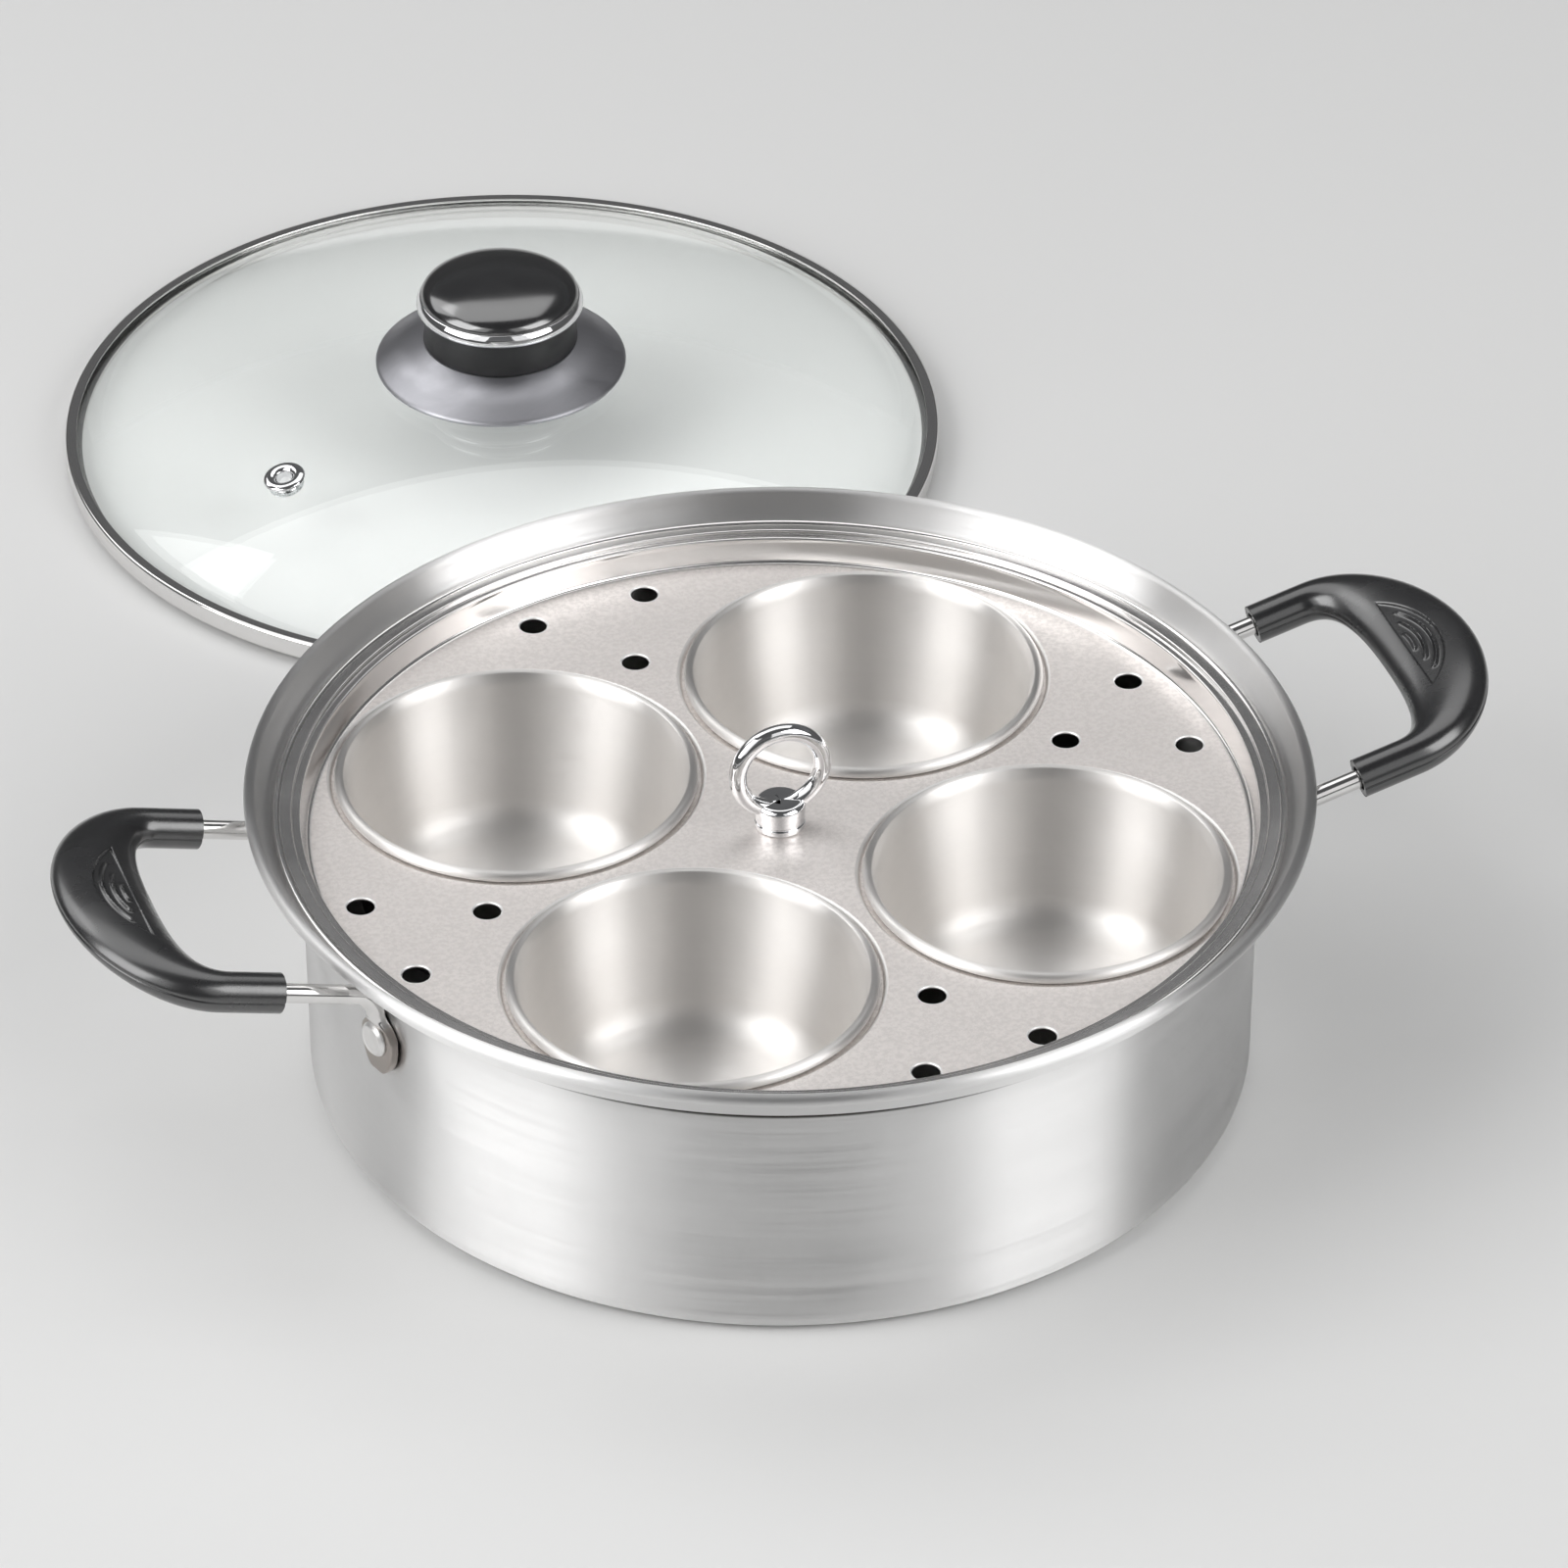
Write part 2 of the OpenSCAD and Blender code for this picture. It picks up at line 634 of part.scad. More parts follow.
// Screws come up through the lower shell and bite into the upper one
module grip_screws(side) {
  color("dimgray")
    on_handle(side)
      for (end = [1, -1])
        translate([grip_screw_u, end * grip_screw_gap / 2, -grip_web - grip_screw_head_h])
          difference() {
            union() {
              cylinder(d = grip_screw_head, h = grip_screw_head_h);
              translate([0, 0, grip_screw_head_h])
                cylinder(d = grip_screw_d, h = grip_web + grip_bite);
            }
            cross_slots(grip_screw_d / 2, grip_screw_d / 5, grip_screw_head_h / 2);
          }
}

// Corner between the tray's plate and wall: upper face outwards, lower face back inwards
function tray_corner_top() =
  arc(plate_r, plate_z + plate_corner, plate_corner, -90, -10, corner_steps);
function tray_corner_under() =
  arc(plate_r, plate_z + plate_corner, plate_corner + tray_t, -10, -90, corner_steps);

// Underside of a dished seat: a shallow cone of sheet below the plate
module seat_cone(grow, z0, z1) {
  translate([0, 0, z0])
    cylinder(r1 = seat_floor_r + grow, r2 = seat_floor_r + grow + (z1 - z0) * seat_slope, h = z1 - z0);
}

module at_seat(k) {
  rotate([0, 0, tray_turn - 45 + 90 * k]) translate([seat_ring_r, 0, 0]) children();
}

module steam_hole(r) {
  translate([r, 0, plate_z - tray_t - cut]) cylinder(d = steam_d, h = tray_t + 2 * cut);
}

// Flat plate up to the foot of the wall, with four seats, twelve steam holes and the screw's hole
module tray_plate() {
  color("lightgray")
    difference() {
      union() {
        rotate_extrude()
          polygon(concat([[0, plate_z]], tray_corner_top(), tray_corner_under(), [[0, plate_z - tray_t]]));
        for (k = [0:3]) at_seat(k) seat_cone(tray_t, seat_floor_z - tray_t, plate_z - tray_t / 2);
      }
      for (k = [0:3])
        at_seat(k) {
          seat_cone(0, seat_floor_z, plate_z + tray_t);
          translate([0, 0, seat_floor_z - 2 * tray_t]) cylinder(r = cup_hole_r, h = 4 * tray_t);
        }
      for (k = [0:3])
        rotate([0, 0, tray_turn + 90 * k]) {
          steam_hole(steam_inner_r);
          for (end = [1, -1]) rotate([0, 0, end * steam_spread]) steam_hole(steam_outer_r);
        }
      translate([0, 0, plate_z - tray_t - cut])
        cylinder(d = ring_screw_d + 2 * screw_clear, h = tray_t + 2 * cut);
    }
}

// Wall, ledge for the lid, flange and rolled hem round the plate
module tray_rim() {
  t = tray_t;
  top = concat(
    [tray_corner_top()[corner_steps]],
    [[ledge_r, ledge_z - 0.3], [ledge_r + 0.3, ledge_z], [step_r - 0.1, ledge_z]],
    [[step_r, flange_z - 0.2], [step_r + 0.2, flange_z], [flange_r + hem_r * 0.6, flange_z]]);
  under = concat(
    [[flange_r + hem_r * 0.6, flange_z - t], [step_r + t, flange_z - t], [step_r + t - 0.1, ledge_z - t]],
    [[ledge_r + t - 0.1, ledge_z - t]],
    [tray_corner_under()[0]]);
  color("lightgray")
    union() {
      rotate_extrude() polygon(concat(top, under));
      rotate_extrude() translate([tray_r - hem_r, hem_z]) circle(hem_r);
    }
}

// Upright ring cast in one with the round boss that it stands on
module lift_ring() {
  color("white")
    difference() {
      union() {
        translate([0, 0, plate_z]) cylinder(d = boss_d, h = boss_h - boss_bevel);
        translate([0, 0, plate_z + boss_h - boss_bevel])
          cylinder(d1 = boss_d, d2 = boss_d - 2 * boss_bevel, h = boss_bevel);
        rotate([0, 0, ring_turn])
          translate([0, 0, plate_z + ring_rise])
            rotate([90, 0, 0])
              rotate_extrude() translate([(ring_d - ring_bar) / 2, 0]) circle(d = ring_bar);
      }
      translate([0, 0, plate_z - cut])
        cylinder(d = ring_screw_d + 2 * fit_clear, h = boss_h - boss_roof + cut);
    }
}

// Pan head screw that comes up through washer and plate into the boss
module lift_ring_screw() {
  color("darkgray")
    translate([0, 0, plate_z - tray_t - ring_washer_t])
      pan_screw(ring_screw_d, ring_washer_t + tray_t + boss_h - boss_roof - tip_room);
}

module lift_ring_washer() {
  color("gray")
    translate([0, 0, plate_z - tray_t - ring_washer_t])
      difference() {
        cylinder(d = ring_washer_d, h = ring_washer_t);
        translate([0, 0, -cut])
          cylinder(d = ring_screw_d + 2 * screw_clear, h = ring_washer_t + 2 * cut);
      }
}

// Spun cup: a rolled bead, a slightly tapering wall and a rounded bottom
module cup_outline() {
  bottom_r = cup_wall_r - cup_taper;
  outer_corner = cup_corner + cup_t;
  outside = concat(
    [[0, cup_floor_z - cup_t]],
    arc(bottom_r - outer_corner, cup_floor_z - cup_t + outer_corner, outer_corner, -90, 0, arc_steps),
    [[cup_wall_r, cup_bead_z]]);
  inside = concat(
    [[cup_wall_r + cup_bead_r * 0.8, cup_top_z - 0.1], [cup_wall_r - 0.1, cup_top_z - 0.9]],
    [[cup_wall_r - cup_t, cup_top_z - cup_flare_h]],
    arc(bottom_r - outer_corner, cup_floor_z + cup_corner, cup_corner, 0, -90, arc_steps),
    [[0, cup_floor_z]]);
  polygon(concat(outside, inside));
  translate([cup_rim_r - cup_bead_r, cup_bead_z]) circle(cup_bead_r);
}

module egg_cup(k) {
  color("lightsteelblue")
    at_seat(k) rotate_extrude() cup_outline();
}

module on_lid() {
  translate([lid_x, lid_y, 0]) children();
}

// Tempered dome with a flat edge, a middle hole for the knob and one for the vent
module glass_outline() {
  outer_face = arc(0, dome_centre_z, dome_sphere_r, 90, 90 - dome_base_angle, 3 * arc_steps);
  inner_face = arc(0, dome_centre_z, inner_sphere_r, 90 - dome_base_angle + 0.6, 90, 3 * arc_steps);
  polygon(concat(
    outer_face,
    [[glass_r - 0.6, glass_edge_z], [glass_r, glass_edge_z - 0.6]],
    [[glass_r, band_rise + band_t + glass_clear], [glass_bend_r - 1, band_rise + band_t + glass_clear]],
    inner_face));
}

module at_vent() {
  tilt = asin(vent_r / dome_sphere_r);
  rotate([0, 0, vent_bearing])
    translate([0, 0, dome_centre_z])
      rotate([0, tilt, 0])
        translate([0, 0, dome_sphere_r]) children();
}

module lid_glass() {
  color("#cfe3ea", 0.35)
    on_lid()
      difference() {
        rotate_extrude() glass_outline();
        translate([0, 0, apex_z - glass_t - cut])
          cylinder(d = knob_hole_d + 2 * glass_hole_clear, h = glass_t + 2 * cut);
        at_vent()
          translate([0, 0, -glass_t - cut])
            cylinder(d = eyelet_hole + 2 * (eyelet_t + glass_clear), h = glass_t + 2 * cut);
      }
}

// Channel rolled round the glass edge, with a skirt that reaches the table
module lid_band() {
  t = band_t;
  color("gainsboro")
    on_lid()
      ring_of(concat(
        [[band_skirt_r, 0], [band_skirt_r + t, 0], [band_skirt_r + t, band_rise]],
        arc(lid_r - band_edge, band_rise + band_edge, band_edge, -90, 0, 3),
        arc(lid_r - band_edge, band_top_z - band_edge, band_edge, 0, 90, 3),
        [[lid_r - band_top, band_top_z], [lid_r - band_top, band_top_z - t]],
        [[lid_r - t, band_top_z - t], [lid_r - t, band_rise + t], [band_skirt_r, band_rise + t]]));
}

// Eyelet crimped on both faces of the glass
module vent_eyelet() {
  tube_r = eyelet_hole / 2 + eyelet_t;
  color("gainsboro")
    on_lid() at_vent()
      difference() {
        union() {
          translate([0, 0, eyelet_gap])
            cylinder(d1 = eyelet_d, d2 = eyelet_d - 1.4, h = eyelet_flange_h);
          translate([0, 0, -glass_t - eyelet_gap - eyelet_flange_h])
            cylinder(d1 = eyelet_d - 3, d2 = eyelet_d - 1.6, h = eyelet_flange_h);
          translate([0, 0, -glass_t - 2 * eyelet_gap]) cylinder(r = tube_r, h = glass_t + 4 * eyelet_gap);
        }
        translate([0, 0, -glass_t - eyelet_flange_h - cut])
          cylinder(d = eyelet_hole, h = glass_t + 2 * (eyelet_flange_h + cut));
      }
}

// Flared finger guard with a hub that carries it on the gasket
module knob_skirt() {
  lip = 0.9;
  color("#55565a")
    on_lid()
      ring_of([[knob_hole_d / 2, gasket_top_z], [hub_d / 2, gasket_top_z],
               [hub_d / 2, skirt_top_z - skirt_t - 0.6], [neck_r - 1, skirt_top_z - skirt_t],
               [skirt_r - 1.4, skirt_edge_z], [skirt_r - 0.4, skirt_edge_z],
               [skirt_r, skirt_edge_z + 0.4], [skirt_r, skirt_edge_z + lip],
               [skirt_r - 0.5, skirt_edge_z + lip + 0.5],
               [(skirt_r + neck_r) / 2, skirt_edge_z + 0.66 * skirt_h],
               [neck_r + 0.5, skirt_top_z - 0.2], [neck_r, skirt_top_z], [knob_hole_d / 2, skirt_top_z]]);
}

// Black neck: a slightly waisted puck with a spigot for the trim ring
module knob_neck() {
  bore_h = insert_top_z + 1 - skirt_top_z;
  color("#17171a")
    on_lid()
      difference() {
        ring_of([[0, skirt_top_z], [neck_r, skirt_top_z], [neck_r - 0.5, skirt_top_z + neck_h * 0.5],
                 [neck_r, neck_top_z], [spigot_r, neck_top_z], [spigot_r, trim_top_z - 0.3],
                 [0, trim_top_z - 0.3]]);
        translate([0, 0, skirt_top_z - cut]) cylinder(d = insert_d + 2 * fit_clear, h = bore_h + cut);
        translate([0, 0, trim_top_z - peg_h - tip_room]) cylinder(r = peg_r + fit_clear, h = peg_h + cut);
      }
}

module knob_trim_ring() {
  color("silver")
    on_lid()
      ring_of([[spigot_r + fit_clear, neck_top_z], [trim_r - 0.9, neck_top_z],
               [trim_r - 0.2, neck_top_z + 0.6], [trim_r, neck_top_z + 1.4],
               [trim_r - 0.3, neck_top_z + 2.4],
               [cap_r + 0.1, trim_top_z], [spigot_r + fit_clear, trim_top_z]]);
}

// Domed cap: an oval arc over a flat seat, with a peg into the neck
module knob_cap() {
  dome = [for (i = [0:2 * arc_steps]) let (a = 90 * i / (2 * arc_steps))
            [cap_r * cos(a), trim_top_z + cap_h * sin(a)]];
  color("#0d0d0f")
    on_lid()
      ring_of(concat(dome, [[0, trim_top_z - peg_h], [peg_r, trim_top_z - peg_h], [peg_r, trim_top_z]]));
}

module knob_disc(z, t, d) {
  on_lid()
    translate([0, 0, z])
      difference() {
        cylinder(d = d, h = t);
        translate([0, 0, -cut]) cylinder(d = knob_hole_d, h = t + 2 * cut);
      }
}

module knob_gasket_upper() {
  color("#222222") knob_disc(apex_z, gasket_t, hub_d);
}

module knob_gasket_lower() {
  color("#222222") knob_disc(low_gasket_z, gasket_t, 2 * low_hub_r);
}

module knob_washer() {
  color("gray") knob_disc(washer_z, washer_t, 2 * low_hub_r);
}

module knob_screw() {
  color("darkgray")
    on_lid()
      translate([0, 0, washer_z]) pan_screw(knob_screw_d, insert_top_z - 1 - washer_z);
}

// Threaded insert moulded into the neck
module knob_insert() {
  color("goldenrod")
    on_lid()
      translate([0, 0, skirt_top_z])
        difference() {
          cylinder(d = insert_d, h = insert_top_z - skirt_top_z);
          translate([0, 0, -cut])
            cylinder(d = knob_screw_d + 2 * fit_clear, h = insert_top_z - skirt_top_z + 2 * cut);
        }
}

pot_base();
pot_wall();
pot_rim();
handle_rod(1);  // handle_rod_right
handle_rod(-1);  // handle_rod_left
handle_rivets(1);  // handle_rivets_right
handle_rivets(-1);  // handle_rivets_left
grip_upper(1);  // grip_upper_right
grip_upper(-1);  // grip_upper_left
grip_lower(1);  // grip_lower_right
grip_lower(-1);  // grip_lower_left
grip_screws(1);  // grip_screws_right
grip_screws(-1);  // grip_screws_left
tray_plate();
tray_rim();
lift_ring();
lift_ring_screw();
lift_ring_washer();
egg_cup(0);  // egg_cup_right
egg_cup(1);  // egg_cup_back
egg_cup(2);  // egg_cup_left
egg_cup(3);  // egg_cup_front
lid_glass();
lid_band();
vent_eyelet();
knob_skirt();
knob_neck();
knob_trim_ring();
knob_cap();
knob_gasket_upper();
knob_gasket_lower();
knob_washer();
knob_screw();
knob_insert();
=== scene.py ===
"""Looks of an egg poacher pan: a polished pot with a tray of four spun cups, and its glass lid beside it.

Lengths in this file are millimetres unless a name ends in _m, and angles are degrees.
"""

import logging
import math
from dataclasses import dataclass, field, replace
from enum import Enum
from typing import Optional, Sequence, Union

import bpy
import numpy as np
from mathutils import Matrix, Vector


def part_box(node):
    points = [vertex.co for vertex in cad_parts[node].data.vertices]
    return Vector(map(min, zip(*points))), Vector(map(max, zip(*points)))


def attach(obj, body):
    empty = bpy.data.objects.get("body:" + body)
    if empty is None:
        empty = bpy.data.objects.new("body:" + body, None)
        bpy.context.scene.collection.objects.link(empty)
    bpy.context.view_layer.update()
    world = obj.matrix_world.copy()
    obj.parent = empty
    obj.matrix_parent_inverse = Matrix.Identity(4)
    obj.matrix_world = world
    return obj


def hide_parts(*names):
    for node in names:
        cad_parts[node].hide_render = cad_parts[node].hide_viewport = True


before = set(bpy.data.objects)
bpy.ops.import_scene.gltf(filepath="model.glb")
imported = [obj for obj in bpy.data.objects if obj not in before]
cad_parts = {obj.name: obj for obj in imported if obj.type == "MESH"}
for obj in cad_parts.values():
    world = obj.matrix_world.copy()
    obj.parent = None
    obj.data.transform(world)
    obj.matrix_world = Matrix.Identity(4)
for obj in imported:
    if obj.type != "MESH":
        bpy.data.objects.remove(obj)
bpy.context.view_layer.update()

LOG = logging.getLogger("egg_poacher_pan")
MM = 0.001
Colour = Union[Sequence[float], bpy.types.NodeSocket]


class Side(Enum):
    """The two handles, by the turn that brings the right one's shape to each place."""

    RIGHT = 0.0
    LEFT = 180.0

    @property
    def label(self) -> str:
        """The side's name as the nodes use it."""
        return self.name.lower()


class Cup(Enum):
    """The four egg cups, by how many quarter turns each stands past the right one."""

    RIGHT = 0
    BACK = 1
    LEFT = 2
    FRONT = 3

    @property
    def label(self) -> str:
        """The cup's name as the nodes use it."""
        return self.name.lower()


# Meshes


@dataclass
class Shell:
    """A closed mesh as arrays: points in millimetres, faces, and a map place for each face corner."""

    points: np.ndarray
    quads: np.ndarray
    tris: np.ndarray
    quad_map: np.ndarray
    tri_map: np.ndarray

    def volume(self) -> float:
        """The signed volume: the sum over triangles of the box product of their corners, over six."""
        fans = np.concatenate([self.quads[:, [0, 1, 2]], self.quads[:, [0, 2, 3]], self.tris])
        a, b, c = (self.points[fans[:, k]] for k in range(3))
        return float(np.einsum("ij,ij->i", a, np.cross(b, c)).sum() / 6)

    def outward(self) -> "Shell":
        """The same shell with its faces turned to point away from its inside."""
        if self.volume() >= 0:
            return self
        return Shell(self.points, self.quads[:, ::-1], self.tris[:, ::-1],
                     self.quad_map[:, ::-1], self.tri_map[:, ::-1])

    def moved(self, matrix: np.ndarray) -> "Shell":
        """The shell carried by a 4 by 4 matrix whose shift is in millimetres."""
        points = self.points @ matrix[:3, :3].T + matrix[:3, 3]
        return Shell(points, self.quads, self.tris, self.quad_map, self.tri_map).outward()

    def __add__(self, other: "Shell") -> "Shell":
        """Both shells as one mesh of separate closed parts."""
        shift = len(self.points)
        return Shell(np.concatenate([self.points, other.points]),
                     np.concatenate([self.quads, other.quads + shift]),
                     np.concatenate([self.tris, other.tris + shift]),
                     np.concatenate([self.quad_map, other.quad_map]),
                     np.concatenate([self.tri_map, other.tri_map]))


def lattice(rings: np.ndarray, caps: Optional[Sequence[np.ndarray]] = None) -> Shell:
    """Joins rings of points into a closed shell.

    Each ring closes on itself. Neighbouring rings are joined by four-cornered faces. Without caps the
    last ring joins the first; with caps each end ring is closed by a fan to one point.

    Args:
        rings: An array of ring, point along the ring, and x, y, z.
        caps: The two end points, or None for a shape that closes on itself.

    Returns:
        The shell, with its faces pointing outwards.
    """
    count, around = rings.shape[:2]
    index = np.arange(count * around).reshape(count, around)
    bands = count if caps is None else count - 1
    lower = index[:bands]
    upper = np.roll(index, -1, axis=0)[:bands]
    quads = np.stack([lower, upper, np.roll(upper, -1, axis=1), np.roll(lower, -1, axis=1)], axis=-1)
    j = np.arange(around) / around
    i = np.arange(bands) / max(bands, 1)
    u, v = np.broadcast_arrays(j[None, :], i[:, None])
    du, dv = 1 / around, 1 / max(bands, 1)
    quad_map = np.stack([np.stack([u, v], -1), np.stack([u, v + dv], -1),
                         np.stack([u + du, v + dv], -1), np.stack([u + du, v], -1)], axis=-2)
    points = rings.reshape(-1, 3)
    tris, tri_map = np.zeros((0, 3), int), np.zeros((0, 3, 2))
    if caps is not None:
        points = np.concatenate([points, np.asarray(caps, float)])
        first, last = index[0], index[-1]
        tris = np.concatenate([
            np.stack([np.full(around, count * around), first, np.roll(first, -1)], -1),
            np.stack([np.full(around, count * around + 1), np.roll(last, -1), last], -1)])
        low = np.stack([np.stack([j, 0 * j], -1), np.stack([j, 0 * j], -1),
                        np.stack([j + du, 0 * j], -1)], 1)
        high = np.stack([np.stack([j, 0 * j + 1], -1), np.stack([j + du, 0 * j + 1], -1),
                         np.stack([j, 0 * j + 1], -1)], 1)
        tri_map = np.concatenate([low, high])
    return Shell(points, quads.reshape(-1, 4), tris, quad_map.reshape(-1, 4, 2), tri_map).outward()


def turned(profile: np.ndarray, segments: int = 192, closed: bool = False) -> Shell:
    """Turns a profile round the Z axis: each point (r, z) becomes the circle (r cos a, r sin a, z).

    Args:
        profile: Points of radius and height. An open one starts and ends on the axis.
        segments: Number of steps round the circle.
        closed: True if the profile is a loop that stays off the axis.

    Returns:
        The closed shell.
    """
    a = np.linspace(0, 2 * np.pi, segments, endpoint=False)
    body = profile if closed else profile[1:-1]
    r, z = body[:, :1], body[:, 1:]
    rings = np.stack([r * np.cos(a), r * np.sin(a), z + 0 * a], axis=-1)
    caps = None if closed else [[0, 0, profile[0, 1]], [0, 0, profile[-1, 1]]]
    return lattice(rings, caps)


def arc(cx: float, cz: float, r: float, start: float, end: float, steps: int = 12) -> np.ndarray:
    """Points of a circular arc round (cx, cz) from one angle to another."""
    a = np.radians(np.linspace(start, end, steps + 1))
    return np.stack([cx + r * np.cos(a), cz + r * np.sin(a)], axis=-1)


def rounded(corners: Sequence[Sequence[float]], cuts: float | Sequence[float], steps: int = 5,
            closed: bool = False) -> np.ndarray:
    """Rounds the corners of an outline.

    Each corner P is replaced by the curve (1-t)^2 A + 2t(1-t) P + t^2 B, where A and B lie on the two
    sides at the corner's cut from P, or at 0.45 of the side where that is shorter.

    Args:
        corners: Points of the outline.
        cuts: The length cut off beside a corner, one for all or one for each.
        steps: Number of steps along each rounding.
        closed: True if the last corner joins the first.

    Returns:
        The points of the rounded outline.
    """
    p = np.asarray(corners, float)
    cut = np.broadcast_to(np.asarray(cuts, float), len(p)).copy()
    before, after = np.roll(p, 1, axis=0) - p, np.roll(p, -1, axis=0) - p
    if not closed:
        cut[[0, -1]] = 0
    long_before, long_after = np.linalg.norm(before, axis=1), np.linalg.norm(after, axis=1)
    reach = np.minimum(cut, 0.45 * np.minimum(long_before, long_after))[:, None]
    a = p + before / np.maximum(long_before, 1e-9)[:, None] * reach
    b = p + after / np.maximum(long_after, 1e-9)[:, None] * reach
    t = np.linspace(0, 1, steps + 1)[None, :, None]
    curve = (1 - t) ** 2 * a[:, None] + 2 * t * (1 - t) * p[:, None] + t ** 2 * b[:, None]
    points = curve.reshape(-1, 2)
    gap = np.linalg.norm(points - np.roll(points, 1, axis=0), axis=1)
    keep = gap > 1e-6
    keep[0] = keep[0] or not closed
    return points[keep]


def refined(profile: np.ndarray, longest: float) -> np.ndarray:
    """The same outline with every side split into steps no longer than a given length."""
    sides = np.linalg.norm(np.diff(profile, axis=0), axis=1)
    counts = np.maximum(np.ceil(sides / longest).astype(int), 1)
    start = np.repeat(profile[:-1], counts, axis=0)
    step = np.repeat(np.diff(profile, axis=0) / counts[:, None], counts, axis=0)
    place = np.arange(counts.sum()) - np.repeat(np.cumsum(counts) - counts, counts)
    return np.concatenate([start + step * place[:, None], profile[-1:]])


def turn_about(axis: str, angle: float) -> np.ndarray:
    """A 4 by 4 matrix that turns by an angle about the X, Y or Z axis."""
    c, s = math.cos(math.radians(angle)), math.sin(math.radians(angle))
    k = "XYZ".index(axis)
    i, j = (k + 1) % 3, (k + 2) % 3
    matrix = np.eye(4)
    matrix[i, i], matrix[j, j], matrix[i, j], matrix[j, i] = c, c, -s, s
    return matrix


def shift_by(x: float, y: float, z: float) -> np.ndarray:
    """A 4 by 4 matrix that shifts by a vector."""
    matrix = np.eye(4)
    matrix[:3, 3] = (x, y, z)
    return matrix


def smooth_step(value: np.ndarray, low: float, high: float) -> np.ndarray:
    """0 up to low, 1 from high, and 3t^2 - 2t^3 in between."""
    t = np.clip((value - low) / (high - low), 0, 1)
    return t * t * (3 - 2 * t)


def to_object(name: str, shell: Shell, sharp: float = 40.0) -> bpy.types.Object:
    """Puts a shell into a new object at the origin.

    Args:
        name: The object's name.
        shell: The mesh in millimetres.
        sharp: Edges between faces that differ by more than this angle stay crisp.

    Returns:
        The new object, shaded smooth, with its map in a layer named Around.
    """
    mesh = bpy.data.meshes.new(name)
    faces = shell.quads.tolist() + shell.tris.tolist()
    mesh.from_pydata((shell.points * MM).tolist(), [], faces)
    layer = mesh.uv_layers.new(name="Around")
    places = np.concatenate([shell.quad_map.reshape(-1, 2), shell.tri_map.reshape(-1, 2)])
    layer.data.foreach_set("uv", places.astype(np.float32).ravel())
    mesh.shade_smooth()
    mesh.set_sharp_from_angle(angle=math.radians(sharp))
    made = bpy.data.objects.new(name, mesh)
    bpy.context.scene.collection.objects.link(made)
    return made


def node_box(node: str) -> tuple[np.ndarray, np.ndarray]:
    """The lowest and highest corner of a CAD node, in millimetres."""
    low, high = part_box(node)
    return np.array(low) / MM, np.array(high) / MM


# Shaders


class Tree:
    """A node tree with short calls that add and join its nodes."""

    def __init__(self, tree: bpy.types.NodeTree) -> None:
        """Takes over an empty node tree."""
        self.tree = tree

    def add(self, kind: str, inputs: Optional[dict] = None, **settings) -> bpy.types.Node:
        """Adds a node.

        Args:
            kind: The node's type.
            inputs: Values or sockets for its inputs, by name or number.
            settings: The node's own settings.

        Returns:
            The node.
        """
        node = self.tree.nodes.new(kind)
        for key, value in settings.items():
            setattr(node, key, value)
        for key, value in (inputs or {}).items():
            if isinstance(value, bpy.types.NodeSocket):
                self.tree.links.new(value, node.inputs[key])
            else:
                node.inputs[key].default_value = value
        return node

    def math(self, operation: str, *values) -> bpy.types.NodeSocket:
        """The result of a Math node on one to three values or sockets."""
        node = self.add("ShaderNodeMath", dict(enumerate(values)), operation=operation)
        return node.outputs[0]

    def ramp(self, value: bpy.types.NodeSocket, low: float, high: float, to_low: float,
             to_high: float) -> bpy.types.NodeSocket:
        """A value carried smoothly from one range to another."""
        node = self.add("ShaderNodeMapRange", {"Value": value, "From Min": low, "From Max": high,
                                               "To Min": to_low, "To Max": to_high},
                        interpolation_type="SMOOTHSTEP")
        return node.outputs["Result"]

    def noise(self, vector: bpy.types.NodeSocket, scale: float, detail: float = 3.0,
              roughness: float = 0.5) -> bpy.types.NodeSocket:
        """The grey value of a Noise Texture."""
        node = self.add("ShaderNodeTexNoise", {"Vector": vector, "Scale": scale, "Detail": detail,
                                               "Roughness": roughness})
        return node.outputs["Fac"]


